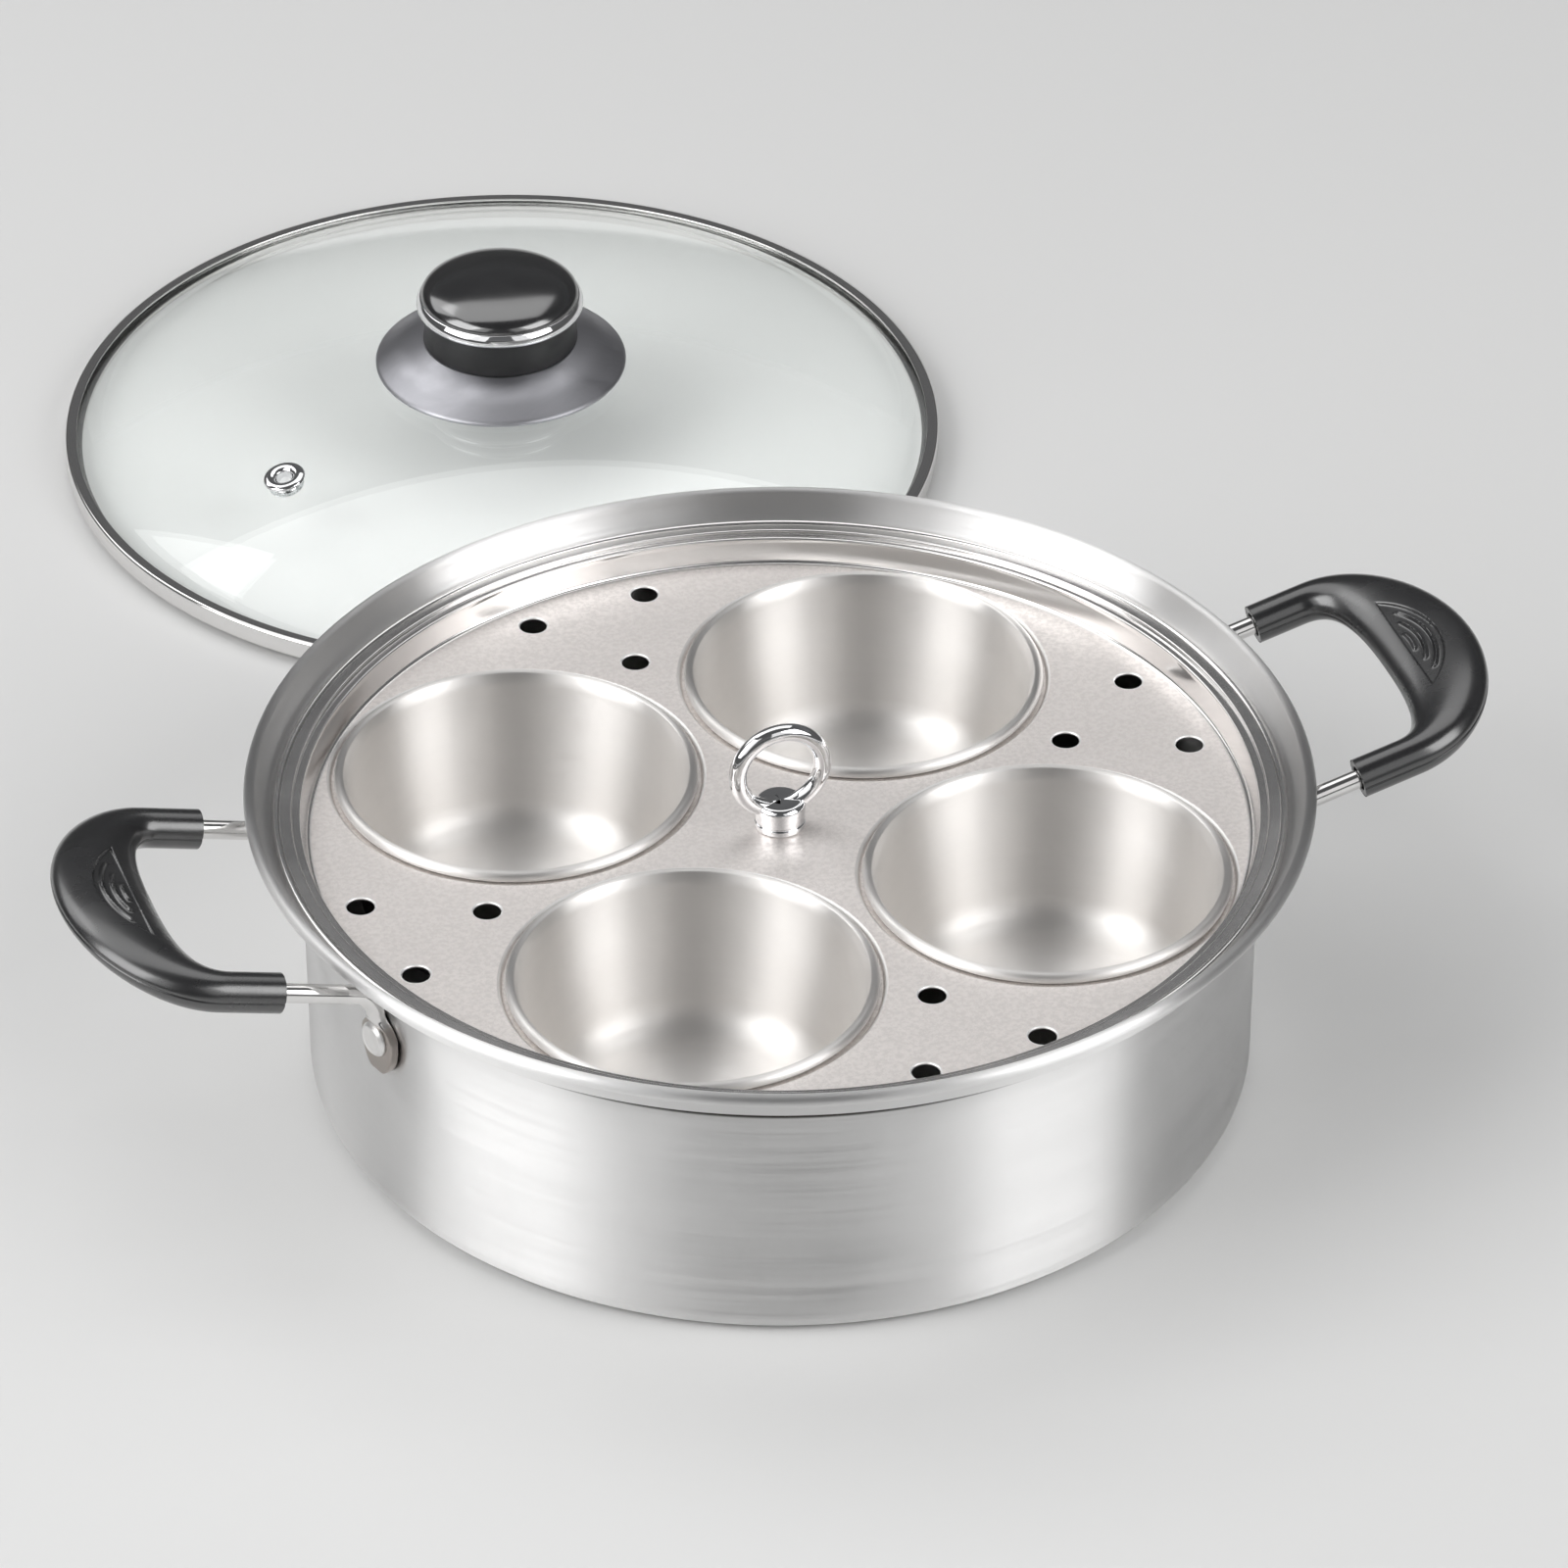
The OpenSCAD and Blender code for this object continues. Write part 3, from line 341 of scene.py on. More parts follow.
@dataclass(frozen=True)
class Effects:
    """The shader effects that several finishes share, each a node group."""

    turning: bpy.types.NodeTree
    handling: bpy.types.NodeTree
    grain: bpy.types.NodeTree

    @staticmethod
    def start(name: str, inputs: dict[str, float], outputs: Sequence[str]) -> tuple[Tree, object, object]:
        """Opens a group with a Vector input, number inputs and number outputs.

        Args:
            name: The group's name.
            inputs: Default values by input name.
            outputs: Names of the outputs.

        Returns:
            The tree, its input node and its output node.
        """
        group = bpy.data.node_groups.new(name, "ShaderNodeTree")
        group.interface.new_socket("Vector", in_out="INPUT", socket_type="NodeSocketVector")
        for key, value in inputs.items():
            socket = group.interface.new_socket(key, in_out="INPUT", socket_type="NodeSocketFloat")
            socket.default_value = value
        for key in outputs:
            group.interface.new_socket(key, in_out="OUTPUT", socket_type="NodeSocketFloat")
        tree = Tree(group)
        return tree, tree.add("NodeGroupInput"), tree.add("NodeGroupOutput")

    @classmethod
    def build(cls) -> "Effects":
        """Makes the three groups."""
        return cls(cls.build_turning(), cls.build_handling(), cls.build_grain())

    @classmethod
    def build_turning(cls) -> bpy.types.NodeTree:
        """Fine lines that run round the Z axis, as a lathe or a polishing belt leaves them.

        Noise is read at (radius, height, a little of the angle), so that it hardly changes round the
        axis and changes quickly across it. Two scales are mixed, and the coarse one fades in patches.
        """
        inputs = {"Lines": 900.0, "Drift": 2.0}
        tree, given, result = cls.start("turning_lines", inputs, ["Height", "Patches"])
        split = tree.add("ShaderNodeSeparateXYZ", {0: given.outputs["Vector"]})
        x, y, z = split.outputs
        radius = tree.math("SQRT", tree.math("ADD", tree.math("MULTIPLY", x, x), tree.math("MULTIPLY", y, y)))
        angle = tree.math("ARCTAN2", y, x)
        across = tree.add("ShaderNodeCombineXYZ", {
            0: tree.math("MULTIPLY", radius, given.outputs["Lines"]),
            1: tree.math("MULTIPLY", z, given.outputs["Lines"]),
            2: tree.math("MULTIPLY", tree.math("ABSOLUTE", angle), given.outputs["Drift"])})
        fine = tree.noise(across.outputs[0], 1.0, 2.0)
        coarse = tree.noise(across.outputs[0], 0.23, 1.0)
        patches = tree.noise(given.outputs["Vector"], 34.0, 2.0)
        height = tree.math("ADD", tree.math("MULTIPLY", fine, 0.6),
                           tree.math("MULTIPLY", coarse, tree.math("MULTIPLY", patches, 0.8)))
        tree.tree.links.new(height, result.inputs["Height"])
        tree.tree.links.new(patches, result.inputs["Patches"])
        return tree.tree

    @classmethod
    def build_handling(cls) -> bpy.types.NodeTree:
        """Faint cloudy marks of wiping and handling, stretched a little along one axis, and fine specks."""
        tree, given, result = cls.start("handling_marks", {"Size": 22.0, "Specks": 1.0}, ["Cloud", "Speck"])
        stretched = tree.add("ShaderNodeVectorMath", {0: given.outputs["Vector"], 1: (1.0, 1.8, 1.3)},
                             operation="MULTIPLY")
        size = given.outputs["Size"]
        cloud = tree.add("ShaderNodeTexNoise", {"Vector": stretched.outputs[0], "Scale": size, "Detail": 5.0,
                                                "Roughness": 0.62, "Distortion": 0.7})
        dots = tree.add("ShaderNodeTexNoise", {"Vector": given.outputs["Vector"],
                                               "Scale": tree.math("MULTIPLY", size, 40.0), "Detail": 1.0})
        speck = tree.math("MULTIPLY", tree.ramp(dots.outputs["Fac"], 0.66, 0.74, 0.0, 1.0),
                          given.outputs["Specks"])
        tree.tree.links.new(tree.ramp(cloud.outputs["Fac"], 0.3, 0.7, 0.0, 1.0), result.inputs["Cloud"])
        tree.tree.links.new(speck, result.inputs["Speck"])
        return tree.tree

    @classmethod
    def build_grain(cls) -> bpy.types.NodeTree:
        """An even fine grain: the sum of two noises, the second three times finer."""
        tree, given, result = cls.start("fine_grain", {"Scale": 900.0}, ["Height"])
        scale = given.outputs["Scale"]
        first = tree.add("ShaderNodeTexNoise", {"Vector": given.outputs["Vector"], "Scale": scale,
                                                "Detail": 3.0})
        finer = tree.add("ShaderNodeTexNoise", {"Vector": given.outputs["Vector"],
                                                "Scale": tree.math("MULTIPLY", scale, 3.0), "Detail": 2.0})
        total = tree.math("ADD", tree.math("MULTIPLY", first.outputs["Fac"], 0.65),
                          tree.math("MULTIPLY", finer.outputs["Fac"], 0.35))
        tree.tree.links.new(total, result.inputs["Height"])
        return tree.tree


class Material(Tree):
    """One material, with its Principled shader and the Object coordinates that its patterns read."""

    def __init__(self, name: str, centre: tuple[float, float] = (0.0, 0.0)) -> None:
        """Opens the material.

        Args:
            name: The material's name.
            centre: X and Y, in metres, that the patterns turn round.
        """
        self.material = bpy.data.materials.new(name)
        self.material.use_nodes = True
        super().__init__(self.material.node_tree)
        self.tree.nodes.clear()
        self.shader = self.add("ShaderNodeBsdfPrincipled")
        self.output = self.add("ShaderNodeOutputMaterial", {"Surface": self.shader.outputs[0]})
        coordinates = self.add("ShaderNodeTexCoord")
        place = self.add("ShaderNodeMapping", {"Vector": coordinates.outputs["Object"],
                                               "Location": (-centre[0], -centre[1], 0.0)})
        self.place = place.outputs[0]

    def effect(self, group: bpy.types.NodeTree, **values: float) -> bpy.types.Node:
        """Places a shared effect, reading this material's coordinates."""
        node = self.add("ShaderNodeGroup", node_tree=group)
        self.tree.links.new(self.place, node.inputs["Vector"])
        for key, value in values.items():
            node.inputs[key].default_value = value
        return node

    def set(self, **values) -> None:
        """Sets sockets of the shader, written with _ for a space, to values or to other sockets."""
        for key, value in values.items():
            socket = self.shader.inputs[key.replace("_", " ")]
            if isinstance(value, bpy.types.NodeSocket):
                self.tree.links.new(value, socket)
            else:
                socket.default_value = value

    def blend(self, mask: bpy.types.NodeSocket, low: Colour, high: Colour) -> bpy.types.NodeSocket:
        """A colour that goes from one to another with a mask.

        Args:
            mask: 0 for the first colour, 1 for the second.
            low: The first colour, as three numbers or a socket.
            high: The second colour, as three numbers or a socket.

        Returns:
            The socket of the mixed colour.
        """
        mix = self.add("ShaderNodeMix", data_type="RGBA")
        self.tree.links.new(mask, mix.inputs["Factor"])
        for index, colour in ((6, low), (7, high)):
            if isinstance(colour, bpy.types.NodeSocket):
                self.tree.links.new(colour, mix.inputs[index])
            else:
                mix.inputs[index].default_value = (*colour, 1)
        return mix.outputs[2]

    def tint(self, mask: bpy.types.NodeSocket, low: Colour, high: Colour) -> None:
        """Makes the base colour go from one colour to another with a mask."""
        self.set(Base_Color=self.blend(mask, low, high))

    def bump(self, height: bpy.types.NodeSocket, depth: float, strength: float = 1.0) -> None:
        """Raises the surface by a height, depth millimetres at 1."""
        node = self.add("ShaderNodeBump", {"Height": height, "Distance": depth * MM, "Strength": strength})
        self.set(Normal=node.outputs[0])


@dataclass(frozen=True)
class TurnedSteel:
    """Stainless steel worked on a lathe: fine lines round the axis, and reflections drawn out across them.

    Attributes:
        name: The material's name.
        roughness: Roughness where the metal is cleanest.
        cloud: Roughness that the wiping marks add.
        stretch: How strongly reflections are drawn out across the lines.
        line_depth: Depth of the lines.
        lines: Number of line patterns in a metre.
        colour: Colour of the clean metal.
        painted_shade_z: Height of the middle of a painted shade line, a dark band laid in the colour just below a fold,
            where the fold's shade falls.
        painted_shade_half: Half height of that painted shade line, or 0 for none.
        painted_shade_r: Distance from the axis past which the painted shade shows, so that it stays on the outside.
        painted_shade_colour: Colour of that painted shade.
    """

    name: str
    roughness: float
    cloud: float
    stretch: float
    line_depth: float
    lines: float = 900.0
    colour: tuple[float, float, float] = (0.80, 0.79, 0.78)
    painted_shade_z: float = 0.0
    painted_shade_half: float = 0.0
    painted_shade_r: float = 0.0
    painted_shade_colour: tuple[float, float, float] = (0.06, 0.055, 0.05)

    def build(self, effects: Effects, centre: tuple[float, float] = (0.0, 0.0)) -> bpy.types.Material:
        """Builds the material round an axis at a place in metres."""
        m = Material(self.name, centre)
        turning = m.effect(effects.turning, Lines=self.lines)
        handling = m.effect(effects.handling)
        m.set(Metallic=1.0, Anisotropic=self.stretch, Anisotropic_Rotation=0.25)
        m.tree.links.new(m.add("ShaderNodeTangent", direction_type="UV_MAP", uv_map="Around").outputs[0],
                         m.shader.inputs["Tangent"])
        colour = m.blend(handling.outputs["Cloud"], self.colour, tuple(0.97 * c for c in self.colour))
        # Painted shade: a dark line at a set height and outside a set radius, standing in for the shade under a fold.
        if self.painted_shade_half > 0:
            x, y, height = m.add("ShaderNodeSeparateXYZ", {0: m.place}).outputs
            radius = m.math("SQRT", m.math("ADD", m.math("MULTIPLY", x, x), m.math("MULTIPLY", y, y)))
            away = m.math("ABSOLUTE", m.math("SUBTRACT", height, self.painted_shade_z * MM))
            line = m.ramp(away, 0.4 * self.painted_shade_half * MM, self.painted_shade_half * MM, 1.0, 0.0)
            line = m.math("MULTIPLY", line, m.math("GREATER_THAN", radius, self.painted_shade_r * MM))
            colour = m.blend(line, colour, self.painted_shade_colour)
        m.set(Base_Color=colour)
        lines = m.ramp(turning.outputs["Height"], 0.3, 0.9, -0.5, 0.5)
        clouded = m.ramp(handling.outputs["Cloud"], 0.0, 1.0, self.roughness, self.roughness + self.cloud)
        rough = m.math("ADD", clouded, m.math("MULTIPLY", lines, 0.3 * self.roughness))
        m.set(Roughness=rough)
        m.bump(turning.outputs["Height"], self.line_depth)
        return m.material


@dataclass(frozen=True)
class TraySteel:
    """The tray's sheet: a satin plate with fine grain inside a radius, and a polished edge outside it.

    A painted highlight brightens a ring round each steam hole and along each seat's edge, where their rounded edges
    catch the light.

    Attributes:
        plate_r: Radius of the plate.
        turn: Turn of the tray.
        seat: Distance of a seat's middle from the tray's, and the seat's radius.
        hole_r: Radius of a steam hole.
        inner_hole: Distance of a group's inner hole from the middle.
        outer_hole: Distance of a group's outer holes from the middle, and their angle from the inner one.
    """

    plate_r: float
    turn: float
    seat: tuple[float, float]
    hole_r: float
    inner_hole: float
    outer_hole: tuple[float, float]
    plate_colour: tuple[float, float, float] = (0.89, 0.85, 0.825)
    edge_colour: tuple[float, float, float] = (0.84, 0.825, 0.815)
    # Colour of the painted highlight rings.
    ring_colour: tuple[float, float, float] = (0.97, 0.96, 0.95)

    def edge_rings(self, m: Material, radius: bpy.types.NodeSocket,
                   angle: bpy.types.NodeSocket) -> bpy.types.NodeSocket:
        """A mask of the bright rings.

        The tray repeats every quarter turn and is the same on both sides of a group of holes, so the angle
        is folded into an eighth of a turn, and one inner hole, one outer hole and one seat are left. A ring
        is where the distance to its middle is near its radius.

        Args:
            m: The material.
            radius: Distance from the tray's axis.
            angle: Angle round the axis.

        Returns:
            The socket of the mask.
        """
        quarter, eighth = math.radians(90), math.radians(45)
        past = m.math("ADD", angle, 8 * quarter + eighth - math.radians(self.turn))
        folded = m.math("ABSOLUTE", m.math("SUBTRACT", m.math("MODULO", past, quarter), eighth))
        x, y = (m.math("MULTIPLY", radius, m.math(part, folded)) for part in ("COSINE", "SINE"))
        seat_place, seat_r = self.seat
        hole_place, hole_turn = self.outer_hole
        mask = None
        for place, turn, ring_r, wide in ((self.inner_hole, 0.0, self.hole_r, 0.75),
                                          (hole_place, hole_turn, self.hole_r, 0.75),
                                          (seat_place, 45.0, seat_r, 0.6)):
            cx, cy = place * math.cos(math.radians(turn)) * MM, place * math.sin(math.radians(turn)) * MM
            dx, dy = m.math("SUBTRACT", x, cx), m.math("SUBTRACT", y, cy)
            away = m.math("SQRT", m.math("ADD", m.math("MULTIPLY", dx, dx), m.math("MULTIPLY", dy, dy)))
            from_ring = m.math("ABSOLUTE", m.math("SUBTRACT", away, ring_r * MM))
            ring = m.ramp(from_ring, 0.3 * wide * MM, wide * MM, 1.0, 0.0)
            mask = ring if mask is None else m.math("MAXIMUM", mask, ring)
        return mask

    def build(self, effects: Effects) -> bpy.types.Material:
        """Builds the material round the pot's axis."""
        m = Material("tray_sheet")
        grain = m.effect(effects.grain, Scale=900.0)
        handling = m.effect(effects.handling, Size=14.0)
        turning = m.effect(effects.turning, Lines=1100.0)
        split = m.add("ShaderNodeSeparateXYZ", {0: m.place})
        x, y, _ = split.outputs
        radius = m.math("SQRT", m.math("ADD", m.math("MULTIPLY", x, x), m.math("MULTIPLY", y, y)))
        edge = m.ramp(radius, (self.plate_r - 0.6) * MM, (self.plate_r + 0.5) * MM, 0.0, 1.0)
        # Painted highlight: the rings round the steam holes and seat edges take a brighter colour, and their roughness
        # stays that of the plate.
        rings = m.math("MULTIPLY", self.edge_rings(m, radius, m.math("ARCTAN2", y, x)),
                       m.math("SUBTRACT", 1.0, edge))
        m.set(Metallic=1.0)
        speckle = m.ramp(grain.outputs["Height"], 0.38, 0.62, 0.0, 1.0)
        plate = m.blend(speckle, tuple(0.93 * c for c in self.plate_colour),
                        tuple(1.07 * c for c in self.plate_colour))
        sheet = m.blend(edge, plate, self.edge_colour)
        m.set(Base_Color=m.blend(rings, sheet, self.ring_colour))
        satin = m.math("ADD", m.ramp(speckle, 0.0, 1.0, 0.56, 0.48),
                       m.math("MULTIPLY", handling.outputs["Cloud"], 0.05))
        polished = m.ramp(handling.outputs["Cloud"], 0.0, 1.0, 0.17, 0.22)
        mix = m.add("ShaderNodeMix", {0: edge, 2: satin, 3: polished}, data_type="FLOAT")
        m.set(Roughness=mix.outputs[0])
        rough_height = m.math("MULTIPLY", grain.outputs["Height"], m.math("SUBTRACT", 1.0, edge))
        line_height = m.math("MULTIPLY", turning.outputs["Height"], m.math("MULTIPLY", edge, 0.06))
        m.bump(m.math("ADD", rough_height, line_height), 0.05)
        return m.material


@dataclass(frozen=True)
class PolishedMetal:
    """Bright metal with faint marks: chrome, polished wire or plated screws.

    Attributes:
        name: The material's name.
        colour: Colour of the clean metal.
        roughness: Roughness where the metal is cleanest.
        marks: Roughness that the marks add.
        grain_depth: Depth of the grain.
        satin_below: Height under which the metal is satin and darker, or 0 for nowhere.
        satin_colour: Colour of the metal there.
        satin_roughness: Roughness that it has there on top of its own.
    """

    name: str
    colour: tuple[float, float, float]
    roughness: float
    marks: float
    grain_depth: float = 0.002
    satin_below: float = 0.0
    satin_colour: tuple[float, float, float] = (0.40, 0.365, 0.34)
    satin_roughness: float = 0.24

    def build(self, effects: Effects) -> bpy.types.Material:
        """Builds the material."""
        m = Material(self.name)
        handling = m.effect(effects.handling, Size=60.0)
        grain = m.effect(effects.grain, Scale=2400.0)
        m.set(Metallic=1.0)
        colour = m.blend(handling.outputs["Cloud"], self.colour, tuple(0.9 * c for c in self.colour))
        rough = m.ramp(handling.outputs["Cloud"], 0.0, 1.0, self.roughness, self.roughness + self.marks)
        if self.satin_below > 0:
            height = m.add("ShaderNodeSeparateXYZ", {0: m.place}).outputs[2]
            satin = m.ramp(height, (self.satin_below - 1) * MM, (self.satin_below + 1) * MM, 1.0, 0.0)
            colour = m.blend(satin, colour, self.satin_colour)
            rough = m.math("ADD", rough, m.math("MULTIPLY", satin, self.satin_roughness))
        m.set(Base_Color=colour, Roughness=rough)
        m.bump(grain.outputs["Height"], self.grain_depth)
        return m.material


@dataclass(frozen=True)
class MouldedPlastic:
    """Moulded plastic or rubber: a fine moulded grain, faint dust, and an optional clear gloss."""

    name: str
    colour: tuple[float, float, float]
    roughness: float
    marks: float
    gloss: float = 0.0
    coat_roughness: float = 0.05
    ior: float = 1.5
    grain_depth: float = 0.004
    grain_scale: float = 1600.0
    dust: float = 0.02

    def build(self, effects: Effects) -> bpy.types.Material:
        """Builds the material."""
        m = Material(self.name)
        handling = m.effect(effects.handling, Size=30.0)
        grain = m.effect(effects.grain, Scale=self.grain_scale)
        dusty = m.math("MULTIPLY", m.math("ADD", handling.outputs["Cloud"], handling.outputs["Speck"]), 0.5)
        m.tint(dusty, self.colour, tuple(c + self.dust for c in self.colour))
        rough = m.ramp(handling.outputs["Cloud"], 0.0, 1.0, self.roughness, self.roughness + self.marks)
        m.set(Roughness=rough, Coat_Weight=self.gloss, Coat_Roughness=self.coat_roughness, IOR=self.ior)
        m.bump(grain.outputs["Height"], self.grain_depth)
        return m.material


@dataclass(frozen=True)
class ClearGlass:
    """Tempered glass that lets lamps through, with a faint green tint and slight wiping marks."""

    name: str = "clear_glass"
    tint: tuple[float, float, float] = (0.972, 0.985, 0.98)

    def build(self, effects: Effects, centre: tuple[float, float]) -> bpy.types.Material:
        """Builds the material round the lid's axis, in metres."""
        m = Material(self.name, centre)
        handling = m.effect(effects.handling, Size=16.0)
        m.set(Base_Color=(*self.tint, 1), Transmission_Weight=1.0, IOR=1.5)
        m.set(Roughness=m.ramp(handling.outputs["Cloud"], 0.0, 1.0, 0.0, 0.012))
        clear = m.add("ShaderNodeBsdfTransparent", {"Color": (*self.tint, 1)})
        path = m.add("ShaderNodeLightPath")
        mix = m.add("ShaderNodeMixShader", {0: path.outputs["Is Shadow Ray"], 1: m.shader.outputs[0],
                                            2: clear.outputs[0]})
        m.tree.links.new(mix.outputs[0], m.output.inputs["Surface"])
        return m.material


@dataclass
class Finishes:
    """Every finish of the pan, built once and shared by the pieces."""

    effects: Effects = field(default_factory=Effects.build)
    made: dict[str, bpy.types.Material] = field(default_factory=dict)

    def turned_steel(self, finish: TurnedSteel,
                     centre: tuple[float, float] = (0.0, 0.0)) -> bpy.types.Material:
        """A turned steel, made the first time it is asked for."""
        if finish.name not in self.made:
            self.made[finish.name] = finish.build(self.effects, centre)
        return self.made[finish.name]

    def plain(self, finish: PolishedMetal | MouldedPlastic | TraySteel) -> bpy.types.Material:
        """A finish with no axis, made the first time it is asked for."""
        key = getattr(finish, "name", "tray_sheet")
        if key not in self.made:
            self.made[key] = finish.build(self.effects)
        return self.made[key]


WIRE_STEEL = PolishedMetal("polished_wire", (0.84, 0.83, 0.82), 0.08, 0.05)
RIVET_STEEL = PolishedMetal("satin_rivets", (0.88, 0.87, 0.86), 0.32, 0.08)
CHROME = PolishedMetal("bright_chrome", (0.90, 0.90, 0.91), 0.035, 0.03, 0.0006)
PLATED_STEEL = PolishedMetal("plated_screws", (0.55, 0.55, 0.56), 0.28, 0.12)
BRASS = PolishedMetal("turned_brass", (0.72, 0.53, 0.24), 0.3, 0.1)
SKIRT_METAL = PolishedMetal("satin_grey_skirt", (0.46, 0.46, 0.49), 0.34, 0.08, 0.004)
BLACK_PLASTIC = MouldedPlastic("black_grip_plastic", (0.006, 0.006, 0.007), 0.24, 0.06, gloss=0.4,
                               coat_roughness=0.14, ior=2.0, grain_depth=0.0015, dust=0.004)
KNOB_PLASTIC = MouldedPlastic("black_knob_plastic", (0.006, 0.006, 0.007), 0.15, 0.05, gloss=0.5,
                              coat_roughness=0.12, ior=2.4, grain_depth=0.0008, dust=0.003)
NECK_PLASTIC = MouldedPlastic("black_neck_plastic", (0.012, 0.012, 0.013), 0.3, 0.08, dust=0.006)
GASKET_RUBBER = MouldedPlastic("gasket_rubber", (0.03, 0.03, 0.03), 0.6, 0.1)
POT_STEEL = TurnedSteel("pot_steel", 0.44, 0.004, 1.0, 0.00005, 1600.0, (0.88, 0.875, 0.87))
CUP_STEEL = TurnedSteel("cup_steel", 0.46, 0.03, 0.88, 0.003, 2200.0, (0.92, 0.90, 0.88))
BAND_STEEL = TurnedSteel("band_steel", 0.12, 0.03, 0.5, 0.001, 1600.0)


def dress(piece: bpy.types.Object, body: str, slot: str, material: bpy.types.Material,
          *nodes: str) -> bpy.types.Object:
    """Gives a new piece its material and its body, and hides the CAD nodes that it stands for."""
    piece.data.materials.append(material)
    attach(piece, body)
    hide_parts(*nodes)
    LOG.info("%s rides on %s, for %s", piece.name, body, ", ".join(nodes))
    return piece


def paint(node: str, material: bpy.types.Material) -> None:
    """Gives a CAD node that stays shown its material."""
    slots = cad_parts[node].data.materials
    slots.clear()
    slots.append(material)
    LOG.info("%s keeps its mesh, in %s", node, material.name)


# The pot with its handles


@dataclass
class Pot:
    """The drawn pot body: base, wall, shoulder with the tray's ledge, leaning collar and rolled rim."""

    rim_r: float
    height: float
    sheet: float = 0.8
    rim_over_wall: float = 13.0
    wall_taper: float = 0.6
    base_corner: float = 5.5
    shoulder_out: float = 7.8
    shoulder_h: float = 6.5
    collar_h: float = 8.4
    collar_lean: float = 1.8
    lip_drop: float = 3.8
    bead_r: float = 1.5
    # painted_shade_up and painted_shade_half place the painted shade line on the shoulder, just above its foot.
    painted_shade_up: float = 0.7
    painted_shade_half: float = 1.3

    @classmethod
    def from_frame(cls) -> "Pot":
        """Takes the rim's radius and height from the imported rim."""
        low, high = node_box("pot_rim")
        return cls(rim_r=(high[0] - low[0]) / 2, height=high[2])

    @property
    def wall_r(self) -> float:
        """Outer radius of the wall at its top."""
        return self.rim_r - self.rim_over_wall

    @property
    def crease_z(self) -> float:
        """Height of the crease between shoulder and collar."""
        return self.height - self.collar_h

    def shoulder(self, inset: float) -> np.ndarray:
        """The shoulder's quarter oval: r = crease - (out + inset) cos a, z = foot + (high + inset) sin a."""
        a = np.radians(np.linspace(0, 90, 15))
        crease_r = self.wall_r + self.shoulder_out
        foot = self.crease_z - self.shoulder_h
        return np.stack([crease_r - (self.shoulder_out + inset) * np.cos(a),
                         foot + (self.shoulder_h + inset) * np.sin(a)], axis=-1)

    def profile(self) -> np.ndarray:
        """The outline from the axis outside the base, up and over the rim, and down inside to the axis."""
        t, bead = self.sheet, self.bead_r
        base_r = self.wall_r - self.wall_taper
        crease_r = self.wall_r + self.shoulder_out
        collar_r = crease_r + self.collar_lean
        lip_z = self.height - self.lip_drop
        bead_cx, bead_cz = self.rim_r - bead, self.height - bead
        corner = self.base_corner
        outer = np.concatenate([
            [[0, 0], [base_r * 0.5, 0]],
            arc(base_r - corner, corner, corner, -90, 0, 12),
            self.shoulder(0),
            rounded([[crease_r, self.crease_z], [crease_r + 0.35, self.crease_z + 0.1],
                     [collar_r, lip_z], [bead_cx - bead * 0.75, bead_cz - bead * 0.7]],
                    [0, 0.3, 1.2, 0])[1:]])
        rim = arc(bead_cx, bead_cz, bead, -125, 140, 22)
        inner = np.concatenate([
            rounded([[bead_cx - bead * 0.85, bead_cz + bead * 0.35], [collar_r - t * 0.55, lip_z + 0.5],
                     [crease_r - t + 0.3, self.crease_z + t + 0.5], [crease_r - t - 0.9, self.crease_z + t]],
                    [0, 1.4, 0.6, 0]),
            self.shoulder(t)[::-1][1:],
            arc(base_r - corner, corner, corner - t, 0, -90, 12),
            [[base_r * 0.5, t], [0, t]]])
        return refined(np.concatenate([outer, rim, inner]), 5.0)

    def build(self, finishes: Finishes) -> None:
        """Builds the body and dresses it in turned, polished steel."""
        piece = to_object("pot_drawn_body", turned(self.profile(), 256), 50)
        # The steel carries a painted shade line on the shoulder below the collar's crease, where the collar's shade
        # falls.
        foot_z = self.crease_z - self.shoulder_h
        finish = replace(POT_STEEL, painted_shade_z=foot_z + self.painted_shade_up, painted_shade_half=self.painted_shade_half,
                         painted_shade_r=self.wall_r - self.sheet / 2)
        dress(piece, "pot", "polished_steel", finishes.turned_steel(finish),
              "pot_base", "pot_wall", "pot_rim")


